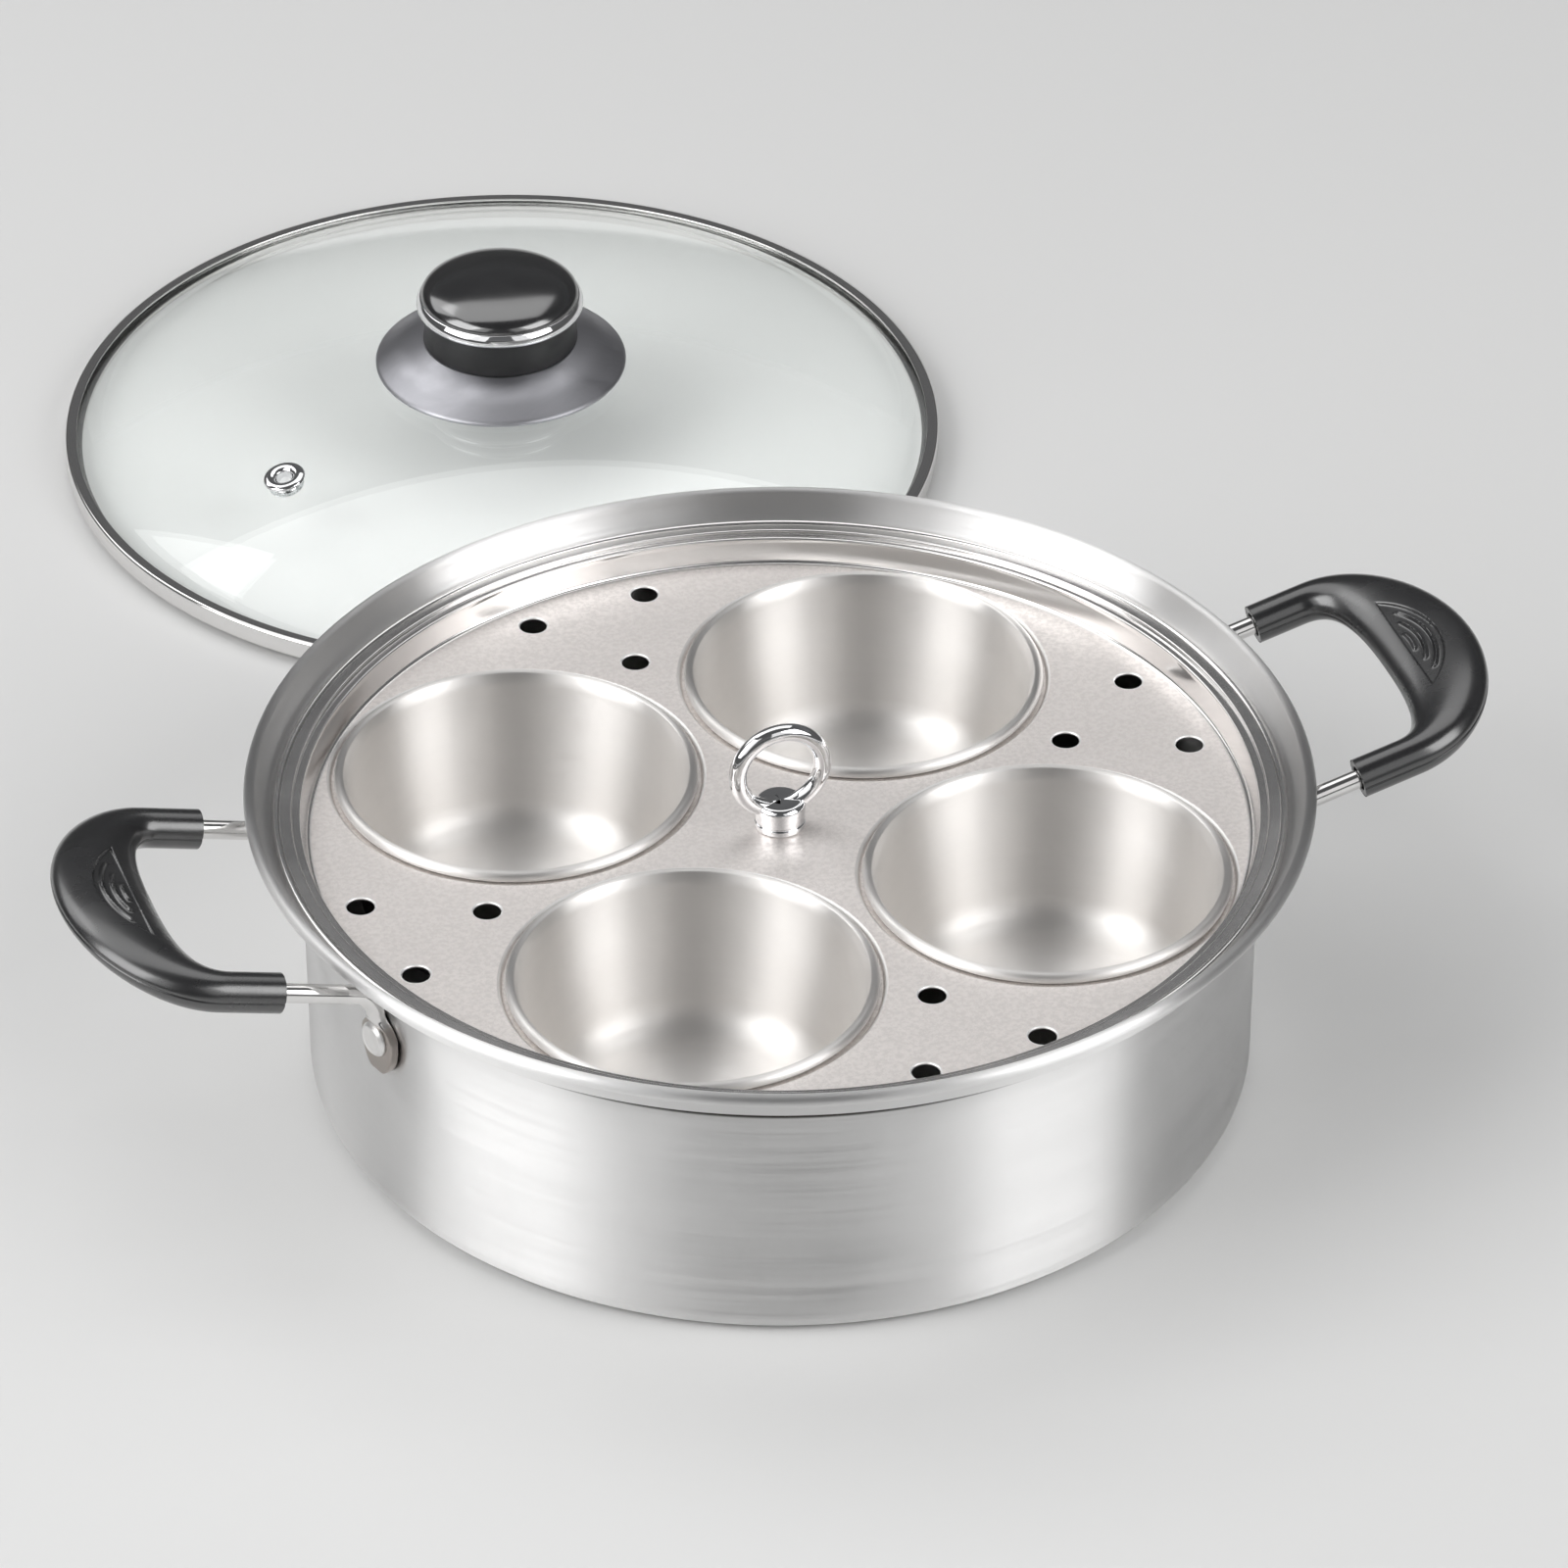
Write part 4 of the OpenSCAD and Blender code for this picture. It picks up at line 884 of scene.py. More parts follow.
@dataclass
class Handle:
    """A loop handle: a bent rod with riveted tabs, and a two-part grip round its crossing."""

    side: Side
    wall_r: float
    elbow_z: float
    rod_half_gap: float = 34.1
    rod_d: float = 4.5
    slope: float = 14.5
    elbow_bend: float = 7.0
    grip_bend: float = 13.0
    rod_reach: float = 53.0
    tab_w: float = 12.0
    tab_t: float = 2.6
    tab_gap: float = 0.1
    tab_tip: float = 9.4
    tip_square: float = 2.2
    rivet_drop: float = 12.2
    rivet_d: float = 5.0
    rivet_head_d: float = 8.6
    rivet_head_h: float = 1.5
    rivet_inner_h: float = 1.2
    pot_sheet: float = 0.8
    wall_taper: float = 0.6
    grip_start: float = 23.2
    grip_reach: float = 66.7
    grip_inner: float = 43.9
    arm_d: float = 9.4
    grip_thick: float = 10.0
    outer_curve: float = 38.0
    inner_curve: float = 34.0
    inner_square: float = 2.6
    recess_depth: float = 0.9
    recess_half: float = 18.0
    recess_in: float = 16.8
    recess_bulge: float = 8.6
    seam_depth: float = 0.22
    rib_h: float = 0.75
    rib_w: float = 0.42
    ribs: tuple[tuple[float, float], ...] = ((1.9, 12.5), (4.4, 8.5), (6.7, 4.0))

    @property
    def leg_r(self) -> float:
        """Distance of the upright leg's centre from the pot's axis."""
        return self.wall_r + self.tab_gap + self.rod_d / 2

    @property
    def leg_x(self) -> float:
        """Distance of the leg along the handle's axis."""
        return math.sqrt(self.leg_r ** 2 - self.rod_half_gap ** 2)

    @property
    def leg_turn(self) -> float:
        """Angle from the handle's axis to the leg, seen from the pot's axis."""
        return math.degrees(math.asin(self.rod_half_gap / self.leg_r))

    @property
    def rivet_z(self) -> float:
        """Height of the rivets."""
        return self.elbow_z - self.rivet_drop

    @property
    def tab_top(self) -> float:
        """Height where the flat tab starts to round up into the leg."""
        return self.rivet_z + self.rivet_head_d / 2 + 0.3

    @property
    def on_slope(self) -> np.ndarray:
        """Carries the handle plane (X outwards, Y across, Z up) to its place on this side."""
        return turn_about("Z", self.side.value) @ shift_by(self.leg_x, 0, self.elbow_z) \
            @ turn_about("Y", -self.slope)

    def rod_rings(self, steps: int = 40) -> np.ndarray:
        """Rings of half the rod, from one tab's tip up the leg, over the elbow and round to the crossing.

        A ring is centre + half width * sign(cos a) |cos a|^q * across + half thickness * sign(sin a)
        |sin a|^q * outwards, where q is 1 for the round rod and less for the flat tab.
        """
        a = np.radians((np.arange(steps) + 0.5) * 360 / steps)
        cos_a, sin_a = np.cos(a), np.sin(a)

        def ring(c: np.ndarray, across: np.ndarray, out: np.ndarray, half_w: np.ndarray,
                 half_t: np.ndarray, q: np.ndarray) -> np.ndarray:
            """Rings at many centres at once; every argument has one row or value for each."""
            wide = half_w[:, None] * np.sign(cos_a) * np.abs(cos_a) ** q[:, None]
            thick = half_t[:, None] * np.sign(sin_a) * np.abs(sin_a) ** q[:, None]
            return c[:, None] + wide[..., None] * across[:, None] + thick[..., None] * out[:, None]

        turn = math.radians(self.leg_turn)
        rivet_z, tab_top = self.rivet_z, self.tab_top
        bend_turn = 90 - self.slope
        leg_top = self.elbow_z - self.elbow_bend * math.tan(math.radians(bend_turn / 2))
        # Half width by height: a superellipse with its round tip down, then soft shoulders up to the leg
        down = self.tab_tip * np.cos(np.radians(np.linspace(4, 90, 26)))
        up = np.linspace(0, leg_top - rivet_z, 20)[1:]
        tongue = self.tab_w / 2 * (1 - (down / self.tab_tip) ** self.tip_square) ** (1 / self.tip_square)
        shoulder = 1 - smooth_step(up, 0.5, leg_top - rivet_z)
        half_w = np.concatenate([tongue, self.rod_d / 2 + (self.tab_w - self.rod_d) / 2 * shoulder])
        s = np.concatenate([-down, up])
        rounding = smooth_step(s, tab_top - rivet_z - 1.5, leg_top - rivet_z)
        end_round = np.sqrt(np.clip(1 - (1 - np.clip((s + self.tab_tip) / 1.1, 0, 1)) ** 2, 0.15, 1))
        half_t = (self.tab_t / 2 + (self.rod_d - self.tab_t) / 2 * rounding) * end_round
        r = self.wall_r + self.tab_gap + self.tab_t / 2 + (self.rod_d - self.tab_t) / 2 * rounding
        q = 0.3 + 0.7 * rounding
        centres = np.stack([r * math.cos(turn), r * math.sin(turn), rivet_z + s], -1)
        across = np.tile([-math.sin(turn), math.cos(turn), 0.0], (len(s), 1))
        out = np.tile([math.cos(turn), math.sin(turn), 0.0], (len(s), 1))
        tab = ring(centres, across, out, half_w, half_t, q)

        e = np.radians(np.linspace(0, bend_turn, 17))[1:]
        ones = np.ones_like(e)
        centres = np.stack([self.leg_x + self.elbow_bend * (1 - np.cos(e)), self.rod_half_gap * ones,
                            leg_top + self.elbow_bend * np.sin(e)], -1)
        across = np.tile([0.0, 1.0, 0.0], (len(e), 1))
        elbow = ring(centres, across, np.stack([np.cos(e), 0 * e, -np.sin(e)], -1),
                     ones * self.rod_d / 2, ones * self.rod_d / 2, ones)

        b = np.radians(np.linspace(0, 90, 13))
        ones = np.ones_like(b)
        c, h = math.cos(math.radians(self.slope)), math.sin(math.radians(self.slope))
        u = self.rod_reach - self.grip_bend * (1 - np.sin(b))
        centres = np.stack([self.leg_x + u * c, self.rod_half_gap - self.grip_bend * (1 - np.cos(b)),
                            self.elbow_z + u * h], -1)
        across = np.stack([np.sin(b) * c, np.cos(b), np.sin(b) * h], -1)
        bend = ring(centres, across, np.tile([h, 0.0, -c], (len(b), 1)),
                    ones * self.rod_d / 2, ones * self.rod_d / 2, ones)
        return np.concatenate([tab, elbow, bend])

    def build_rod(self, finishes: Finishes) -> None:
        """Builds the rod from one half and its mirror image."""
        half = self.rod_rings()
        other = half[::-1] * [1, -1, 1]
        rings = np.concatenate([half, other])
        rod = lattice(rings, [rings[0].mean(axis=0), rings[-1].mean(axis=0)])
        placed = rod.moved(turn_about("Z", self.side.value))
        piece = to_object(f"handle_bent_rod_{self.side.label}", placed, 45)
        finish = replace(WIRE_STEEL, satin_below=self.tab_top)
        dress(piece, "pot", "handle_steel", finishes.plain(finish), f"handle_rod_{self.side.label}")

    def rivet_profile(self) -> np.ndarray:
        """Outline of a rivet along its own axis: low inner head, shank, flat outer head with a soft bevel."""
        outer = self.wall_r + self.tab_gap + self.tab_t
        inner = self.wall_r - self.wall_taper - self.pot_sheet
        head, bevel = self.rivet_head_d / 2, self.rivet_head_h * 0.6
        top = outer + self.rivet_head_h
        inside = rounded([[0, inner - self.rivet_inner_h], [head * 0.7, inner - self.rivet_inner_h],
                          [head, inner], [self.rivet_d / 2, inner], [self.rivet_d / 2, outer]],
                         [0, 0.5, 0.15, 0.1, 0])
        outside = rounded([[self.rivet_d / 2, outer], [head, outer], [head, top - bevel],
                           [head - bevel, top - 0.05], [head - bevel - 0.6, top - 0.22], [0, top - 0.12]],
                          [0, 0.1, 0.45, 0.3, 0.4, 0])
        return np.concatenate([inside, outside[1:]])

    def build_rivets(self, finishes: Finishes) -> None:
        """Builds both rivets of the handle."""
        one = turned(self.rivet_profile(), 64)
        both = None
        for end in (1, -1):
            place = turn_about("Z", self.side.value + end * self.leg_turn) @ shift_by(0, 0, self.rivet_z) \
                @ turn_about("Y", 90)
            both = one.moved(place) if both is None else both + one.moved(place)
        piece = to_object(f"handle_rivet_pair_{self.side.label}", both, 45)
        dress(piece, "pot", "handle_steel", finishes.plain(RIVET_STEEL), f"handle_rivets_{self.side.label}")

    def grip_stations(self) -> tuple[np.ndarray, np.ndarray, np.ndarray]:
        """Outer points, inner points and half thickness along the grip, from one end face to the other.

        The outer edge is an oval quarter and the inner one a squarer oval, both spread over the angle t:
        u = start + reach sin t, w = half width cos t, with both powers 2/square on the inner edge.
        """
        arm_out, arm_in = self.rod_half_gap + self.arm_d / 2, self.rod_half_gap - self.arm_d / 2
        k = np.linspace(0, 1, 14)[:-1]
        arms = np.ones_like(k)
        t = np.radians(np.unique(np.concatenate([np.linspace(0, 40, 26), np.linspace(40, 90, 120)])))
        outer = np.concatenate([
            np.stack([self.grip_start + k * (self.outer_curve - self.grip_start), arm_out * arms], -1),
            np.stack([self.outer_curve + (self.grip_reach - self.outer_curve) * np.sin(t),
                      arm_out * np.cos(t)], -1)])
        power = 2 / self.inner_square
        inner = np.concatenate([
            np.stack([self.grip_start + k * (self.inner_curve - self.grip_start), arm_in * arms], -1),
            np.stack([self.inner_curve + (self.grip_inner - self.inner_curve) * np.sin(t) ** power,
                      arm_in * np.cos(t) ** power], -1)])
        half = np.concatenate([arms * self.arm_d / 2,
                               self.arm_d / 2 + (self.grip_thick - self.arm_d) / 2 * np.sin(t)])
        back = slice(-2, None, -1)
        return (np.concatenate([outer, outer[back] * [1, -1]]),
                np.concatenate([inner, inner[back] * [1, -1]]), np.concatenate([half, half[back]]))

    def carve(self, points: np.ndarray) -> np.ndarray:
        """Sinks the leaf-shaped recess into the grip's top and raises three curved ribs on its floor.

        Inside the recess, between a straight side and an arc over it, the top drops to a plane. Each rib
        adds a bell curve of the distance to an arc inside the leaf's own.
        """
        u, w, z = points[..., 0], points[..., 1], points[..., 2]
        straight = self.grip_reach - self.recess_in
        radius = (self.recess_half ** 2 + self.recess_bulge ** 2) / (2 * self.recess_bulge)
        from_centre = np.hypot(u - (straight + self.recess_bulge - radius), w)
        inside = np.minimum(u - straight, radius - from_centre)
        floor_z = self.grip_thick / 2 - self.recess_depth
        sunk = smooth_step(inside, -0.18, 0.22) * (z > 0)
        carved = z - np.maximum(z - floor_z, 0) * sunk
        for back, half in self.ribs:
            line = from_centre - (radius - back)
            ends = smooth_step(half - np.abs(w), 0, 1.2)
            carved = carved + self.rib_h * np.exp(-(line / self.rib_w) ** 2) * ends * sunk
        return np.stack([u, w, np.where(z > 0, np.minimum(carved, np.maximum(z, floor_z)), z)], -1)

    def grip_half(self, up: int) -> Shell:
        """One moulded shell of the grip, above (1) or below (-1) its parting plane.

        A section's point at the angle s is middle + half span cos s, and up * half thickness sin s. Near the
        parting plane it stands back by a bell curve of the height, which leaves a fine seam.
        """
        outer, inner, half = self.grip_stations()
        steps = 150 if up > 0 else 74
        s = np.radians(np.concatenate([np.linspace(0, 12, 9), np.linspace(12, 168, steps)[1:-1],
                                       np.linspace(168, 180, 9)]))
        middle, span = (outer + inner) / 2, (outer - inner) / 2
        height = half[:, None] * np.sin(s)
        width = np.linalg.norm(span, axis=1)[:, None]
        stand_back = 1 - self.seam_depth / width * np.exp(-(height / 0.3) ** 2)
        flat = middle[:, None] + span[:, None] * (np.cos(s)[None, :, None] * stand_back[..., None])
        body = np.concatenate([flat, (up * height)[..., None]], -1)
        if up > 0:
            body = self.carve(body)
        ends = [self.end_rings(body[0], s, up, 1), self.end_rings(body[-1], s, up, -1)[::-1]]
        rings = np.concatenate([ends[0], body, ends[1]])
        return lattice(rings, [rings[0].mean(axis=0), rings[-1].mean(axis=0)])

    def end_rings(self, face: np.ndarray, s: np.ndarray, up: int, end: int) -> np.ndarray:
        """Rings that close an arm's end: a small rounding, the end face, and a hole sunk round the rod."""
        centre = np.array([self.grip_start, end * self.rod_half_gap, 0])
        along = np.array([1.0, 0.0, 0.0])
        share = np.array([0.93, 0.965, 0.99])[:, None, None]
        inset = np.array([0.0, 0.12, 0.4])[:, None, None]
        outline = centre + (face - centre) * share - along * (0.0 - inset)
        hole_r = self.rod_d / 2 + 0.75
        circle = np.stack([0 * s, end * np.cos(s), up * np.sin(s)], -1) * hole_r
        deep = np.array([2.2, 0.15, 0.0])[:, None, None]
        grow = np.array([1.0, 1.0, 1.06])[:, None, None]
        hole = centre + circle * grow + along * deep
        return np.concatenate([hole, outline])

    def build_grip(self, finishes: Finishes) -> None:
        """Builds the grip's two shells and paints its screws."""
        for up, part in ((1, "upper"), (-1, "lower")):
            shell = self.grip_half(up).moved(self.on_slope)
            piece = to_object(f"grip_shell_{part}_{self.side.label}", shell, 50)
            dress(piece, "pot", "grip_plastic", finishes.plain(BLACK_PLASTIC),
                  f"grip_{part}_{self.side.label}")
        paint(f"grip_screws_{self.side.label}", finishes.plain(PLATED_STEEL))

    def build(self, finishes: Finishes) -> None:
        """Builds the whole handle."""
        self.build_rod(finishes)
        self.build_rivets(finishes)
        self.build_grip(finishes)


# The tray with its lift ring and cups


@dataclass
class Tray:
    """The pressed tray: rolled hem, flange, lid step, upright wall, and a plate with four dished seats."""

    plate_z: float
    outer_r: float
    sheet: float = 0.8
    hem_r: float = 1.1
    flange_w: float = 3.6
    lid_step: float = 1.0
    lid_ledge: float = 2.1
    plate_drop: float = 6.2
    wall_lean: float = 1.1
    plate_corner: float = 1.0
    turn: float = 8.3
    seat_web: float = 3.7
    seat_margin: float = 0.3
    seat_depth: float = 1.2
    seat_slope: float = 0.5
    cup_gap: float = 1.3
    cup_bead_r: float = 1.3
    cup_clear: float = 0.5
    steam_d: float = 6.5
    steam_inner_edge: float = 33.8
    steam_edge: float = 7.5
    steam_spread: float = 8.4
    screw_hole_d: float = 4.2

    @classmethod
    def from_frame(cls) -> "Tray":
        """Takes the plate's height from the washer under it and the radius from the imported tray."""
        washer_top = node_box("lift_ring_washer")[1][2]
        low, high = node_box("tray_rim")
        return cls(plate_z=washer_top + cls.sheet, outer_r=(high[0] - low[0]) / 2)

    @property
    def ledge_z(self) -> float:
        """Height of the ledge that the lid sits on."""
        return self.plate_z + self.plate_drop

    @property
    def flange_r(self) -> float:
        """Radius where the flange meets the hem."""
        return self.outer_r - 2 * self.hem_r

    @property
    def step_r(self) -> float:
        """Radius of the step round the lid's edge."""
        return self.flange_r - self.flange_w + self.hem_r

    @property
    def plate_r(self) -> float:
        """Radius of the flat plate."""
        return self.step_r - self.lid_ledge - self.wall_lean - self.plate_corner

    @property
    def seat_r(self) -> float:
        """Radius of a seat: four equal circles that touch the margin and leave the web."""
        return (math.sqrt(2) * (self.plate_r - self.seat_margin) - self.seat_web) / (2 + math.sqrt(2))

    @property
    def seat_ring_r(self) -> float:
        """Distance of a seat's middle from the tray's."""
        return self.plate_r - self.seat_margin - self.seat_r

    @property
    def cup_rim_r(self) -> float:
        """Outer radius of a cup's bead."""
        return self.seat_r - self.cup_gap

    @property
    def cup_hole_r(self) -> float:
        """Radius of the hole that a cup's wall hangs through."""
        return self.cup_rim_r - 2 * self.cup_bead_r + self.cup_clear

    def seat_centre(self, quarter: int) -> tuple[float, float]:
        """Middle of a seat, by its number of quarter turns."""
        a = math.radians(self.turn - 45 + 90 * quarter)
        return self.seat_ring_r * math.cos(a), self.seat_ring_r * math.sin(a)

    def profile(self) -> np.ndarray:
        """The sheet's outline from the middle over its top to the hem and back underneath."""
        t, hem = self.sheet, self.hem_r
        ledge_r, step_r, flange_r = self.step_r - self.lid_ledge, self.step_r, self.flange_r
        ledge_z, flange_z = self.ledge_z, self.ledge_z + self.lid_step
        hem_z = flange_z - hem / 2
        corner = self.plate_corner
        plate_rings = np.array([0, 30, 60, 90, 100, self.plate_r - 1.5])
        plate_top = np.stack([plate_rings, np.full(len(plate_rings), self.plate_z)], -1)
        top = np.concatenate([
            plate_top, arc(self.plate_r, self.plate_z + corner, corner, -90, -10, 8),
            rounded([[ledge_r - 0.02, ledge_z - 1.5], [ledge_r, ledge_z], [step_r - 0.1, ledge_z],
                     [step_r, flange_z], [flange_r + hem * 0.25, flange_z]], [0, 0.55, 0.25, 0.45, 0])])
        rolled = arc(self.outer_r - hem, hem_z, hem, 143, -170, 26)
        under = np.concatenate([
            rounded([[flange_r + hem * 0.2, flange_z - t], [step_r + t, flange_z - t],
                     [step_r + t - 0.1, ledge_z - t], [ledge_r + t - 0.1, ledge_z - t],
                     [ledge_r + t - 0.15, ledge_z - t - 1.5]], [0, 0.3, 0.3, 0.3, 0]),
            arc(self.plate_r, self.plate_z + corner, corner + t, -10, -90, 8),
            [[self.plate_r - 1.5, self.plate_z - t], [60, self.plate_z - t], [0, self.plate_z - t]]])
        return np.concatenate([top, rolled, under])

    def seat_shell(self) -> Shell:
        """The underside of a dished seat as a low solid cone."""
        floor_z, t = self.plate_z - self.seat_depth, self.sheet
        floor_r = self.seat_r - self.seat_depth * self.seat_slope
        outline = rounded([[0, floor_z - t], [floor_r + t, floor_z - t],
                           [self.seat_r + t * 0.8, self.plate_z - t / 2], [0, self.plate_z - t / 2]],
                          [0, 0.5, 0, 0])
        return turned(outline, 160)

    def seat_cutter(self) -> Shell:
        """What is cut out of a seat: its dish with a rounded edge, and the cup's hole below it."""
        floor_z, soft = self.plate_z - self.seat_depth, 0.5
        floor_r = self.seat_r - self.seat_depth * self.seat_slope
        outline = rounded([[0, floor_z - 4], [self.cup_hole_r, floor_z - 4], [self.cup_hole_r, floor_z],
                           [floor_r, floor_z], [self.seat_r - 0.1, self.plate_z - soft * 0.6],
                           [self.seat_r + soft, self.plate_z + 0.02], [self.seat_r + soft, self.plate_z + 4],
                           [0, self.plate_z + 4]], [0, 0, 0.2, 0.4, 0.4, 0, 0, 0])
        return turned(outline, 160)

    def hole_cutter(self, diameter: float) -> Shell:
        """A round hole whose edges are slightly rounded over on both faces."""
        top, low, r = self.plate_z, self.plate_z - self.sheet, diameter / 2
        outline = rounded([[0, low - 3], [r + 0.3, low - 3], [r + 0.3, low - 0.02], [r, low + 0.25],
                           [r, top - 0.25], [r + 0.3, top + 0.02], [r + 0.3, top + 3], [0, top + 3]],
                          [0, 0, 0, 0.15, 0.15, 0, 0, 0])
        return turned(outline, 48)

    def cutters(self) -> Shell:
        """All seats and holes as one mesh of separate shells."""
        seat = self.seat_cutter()
        hole = self.hole_cutter(self.steam_d)
        total = self.hole_cutter(self.screw_hole_d)
        inner_r, outer_r = self.plate_r - self.steam_inner_edge, self.plate_r - self.steam_edge
        for quarter in range(4):
            total = total + seat.moved(shift_by(*self.seat_centre(quarter), 0))
            for turn, r in ((0, inner_r), (self.steam_spread, outer_r), (-self.steam_spread, outer_r)):
                place = turn_about("Z", self.turn + 90 * quarter + turn) @ shift_by(r, 0, 0)
                total = total + hole.moved(place)
        return total

    def build(self, finishes: Finishes) -> None:
        """Turns the sheet, adds the seats' undersides, cuts the seats and holes, and dresses the tray."""
        piece = to_object("tray_sheet", turned(self.profile(), 256), 35)
        under = self.seat_shell()
        seats = [under.moved(shift_by(*self.seat_centre(q), 0)) for q in range(4)]
        cut_mesh(piece, seats[0] + seats[1] + seats[2] + seats[3], "UNION")
        cut_mesh(piece, self.cutters(), "DIFFERENCE")
        piece.data.shade_smooth()
        piece.data.set_sharp_from_angle(angle=math.radians(28))
        weigh_normals(piece)
        outer_hole = (self.plate_r - self.steam_edge, self.steam_spread)
        finish = TraySteel(self.plate_r, self.turn, (self.seat_ring_r, self.seat_r), self.steam_d / 2,
                           self.plate_r - self.steam_inner_edge, outer_hole)
        dress(piece, "tray_lift", "tray_steel", finishes.plain(finish), "tray_plate", "tray_rim")


def cut_mesh(piece: bpy.types.Object, tool: Shell, operation: str) -> None:
    """Joins a shell to a piece or cuts it out of it, and keeps the result as the piece's mesh."""
    helper = to_object("tool", tool)
    modifier = piece.modifiers.new("tool", "BOOLEAN")
    modifier.operation, modifier.solver, modifier.object = operation, "EXACT", helper
    bpy.context.view_layer.update()
    settled = bpy.data.meshes.new_from_object(piece.evaluated_get(bpy.context.evaluated_depsgraph_get()))
    piece.modifiers.remove(modifier)
    settled.name = piece.name
    piece.data = settled
    bpy.data.objects.remove(helper)


def weigh_normals(piece: bpy.types.Object) -> None:
    """Makes large flat faces rule the shading at their edges."""
    modifier = piece.modifiers.new("weighted", "WEIGHTED_NORMAL")
    modifier.keep_sharp = True
    modifier.weight = 80


@dataclass
class LiftRing:
    """The upright ring on its round boss, with screw and washer under the plate."""

    plate_z: float
    ring_d: float = 25.0
    bar: float = 4.2
    rise: float = 15.4
    boss_d: float = 12.0
    boss_h: float = 7.2

    def ring_shell(self) -> Shell:
        """A ring in the plane of the handles: a circle of radius bar/2 carried round radius (d - bar)/2."""
        major, minor = (self.ring_d - self.bar) / 2, self.bar / 2
        a = np.radians(np.arange(0, 360, 3))[:, None]
        b = np.radians(np.arange(0, 360, 12))[None, :]
        reach = major + minor * np.cos(b)
        rings = np.stack([reach * np.cos(a), minor * np.sin(b) + 0 * a, reach * np.sin(a)], -1)
        return lattice(rings).moved(shift_by(0, 0, self.plate_z + self.rise))

    def boss_shell(self) -> Shell:
        """The boss: a straight puck with a bevelled top, a fine foot groove and a slightly dished face."""
        r, z, top = self.boss_d / 2, self.plate_z, self.plate_z + self.boss_h
        outline = rounded([[0, z], [r - 0.35, z], [r, z + 0.35], [r, z + 1.5], [r - 0.35, z + 1.75],
                           [r - 0.35, z + 2.1], [r, z + 2.35], [r, top - 0.9], [r - 0.9, top],
                           [2.0, top - 0.05], [0, top - 0.1]], [0, 0.2, 0.2, 0.15, 0.15, 0.15, 0.15, 0.5, 0.5, 0, 0], 4)
        return turned(outline, 96)

    def build(self, finishes: Finishes) -> None:
        """Builds ring and boss as one piece and paints the fasteners."""
        piece = to_object("lift_ring_and_boss", self.boss_shell(), 40)
        cut_mesh(piece, self.ring_shell(), "UNION")
        piece.data.shade_smooth()
        piece.data.set_sharp_from_angle(angle=math.radians(40))
        dress(piece, "tray_lift", "chrome", finishes.plain(CHROME), "lift_ring")
        for node in ("lift_ring_screw", "lift_ring_washer"):
            paint(node, finishes.plain(PLATED_STEEL))


@dataclass
class EggCup:
    """A spun cup: rolled bead, flared lip, slightly tapering wall and rounded bottom."""

    place: Cup
    centre: tuple[float, float]
    rim_r: float
    top_z: float
    depth: float = 41.0
    sheet: float = 0.7
    bead_r: float = 1.3
    taper: float = 2.8
    corner: float = 8.0
    flare_h: float = 2.4

    def profile(self) -> np.ndarray:
        """The outline from the axis under the bottom, up the outside, over the bead and down inside."""
        wall_r, bead_z = self.rim_r - 2 * self.bead_r, self.top_z - self.bead_r
        bottom_r, floor_z = wall_r - self.taper, self.top_z - self.depth
        outer_corner = self.corner + self.sheet
        inner_wall = wall_r - self.sheet
        outside = np.concatenate([
            [[0, floor_z - self.sheet], [14, floor_z - self.sheet]],
            arc(bottom_r - outer_corner, floor_z - self.sheet + outer_corner, outer_corner, -90, 0, 14),
            [[wall_r - 0.05, bead_z - 1.5]]])
        bead = arc(self.rim_r - self.bead_r, bead_z, self.bead_r, -170, 95, 24)
        lip = rounded([[self.rim_r - self.bead_r - 0.2, self.top_z], [wall_r + 0.45, self.top_z - 0.12],
                       [inner_wall + 0.12, self.top_z - self.flare_h], [inner_wall - 0.1, self.top_z - 5]],
                      [0, 0.5, 1.2, 0], 7)
        inside = np.concatenate([
            arc(bottom_r - outer_corner, floor_z + self.corner, self.corner, 0, -90, 14),
            [[14, floor_z], [0, floor_z]]])
        return refined(np.concatenate([outside, bead, lip, inside]), 2.5)

    def build(self, finishes: Finishes) -> None:
        """Builds the cup round its own axis."""
        shell = turned(self.profile(), 192).moved(shift_by(*self.centre, 0))
        piece = to_object(f"spun_cup_{self.place.label}", shell, 50)
        finish = replace(CUP_STEEL, name=f"{CUP_STEEL.name}_{self.place.label}")
        centre_m = (self.centre[0] * MM, self.centre[1] * MM)
        dress(piece, f"cup_{self.place.label}", "cup_steel", finishes.turned_steel(finish, centre_m),
              f"egg_cup_{self.place.label}")


# The lid with its knob


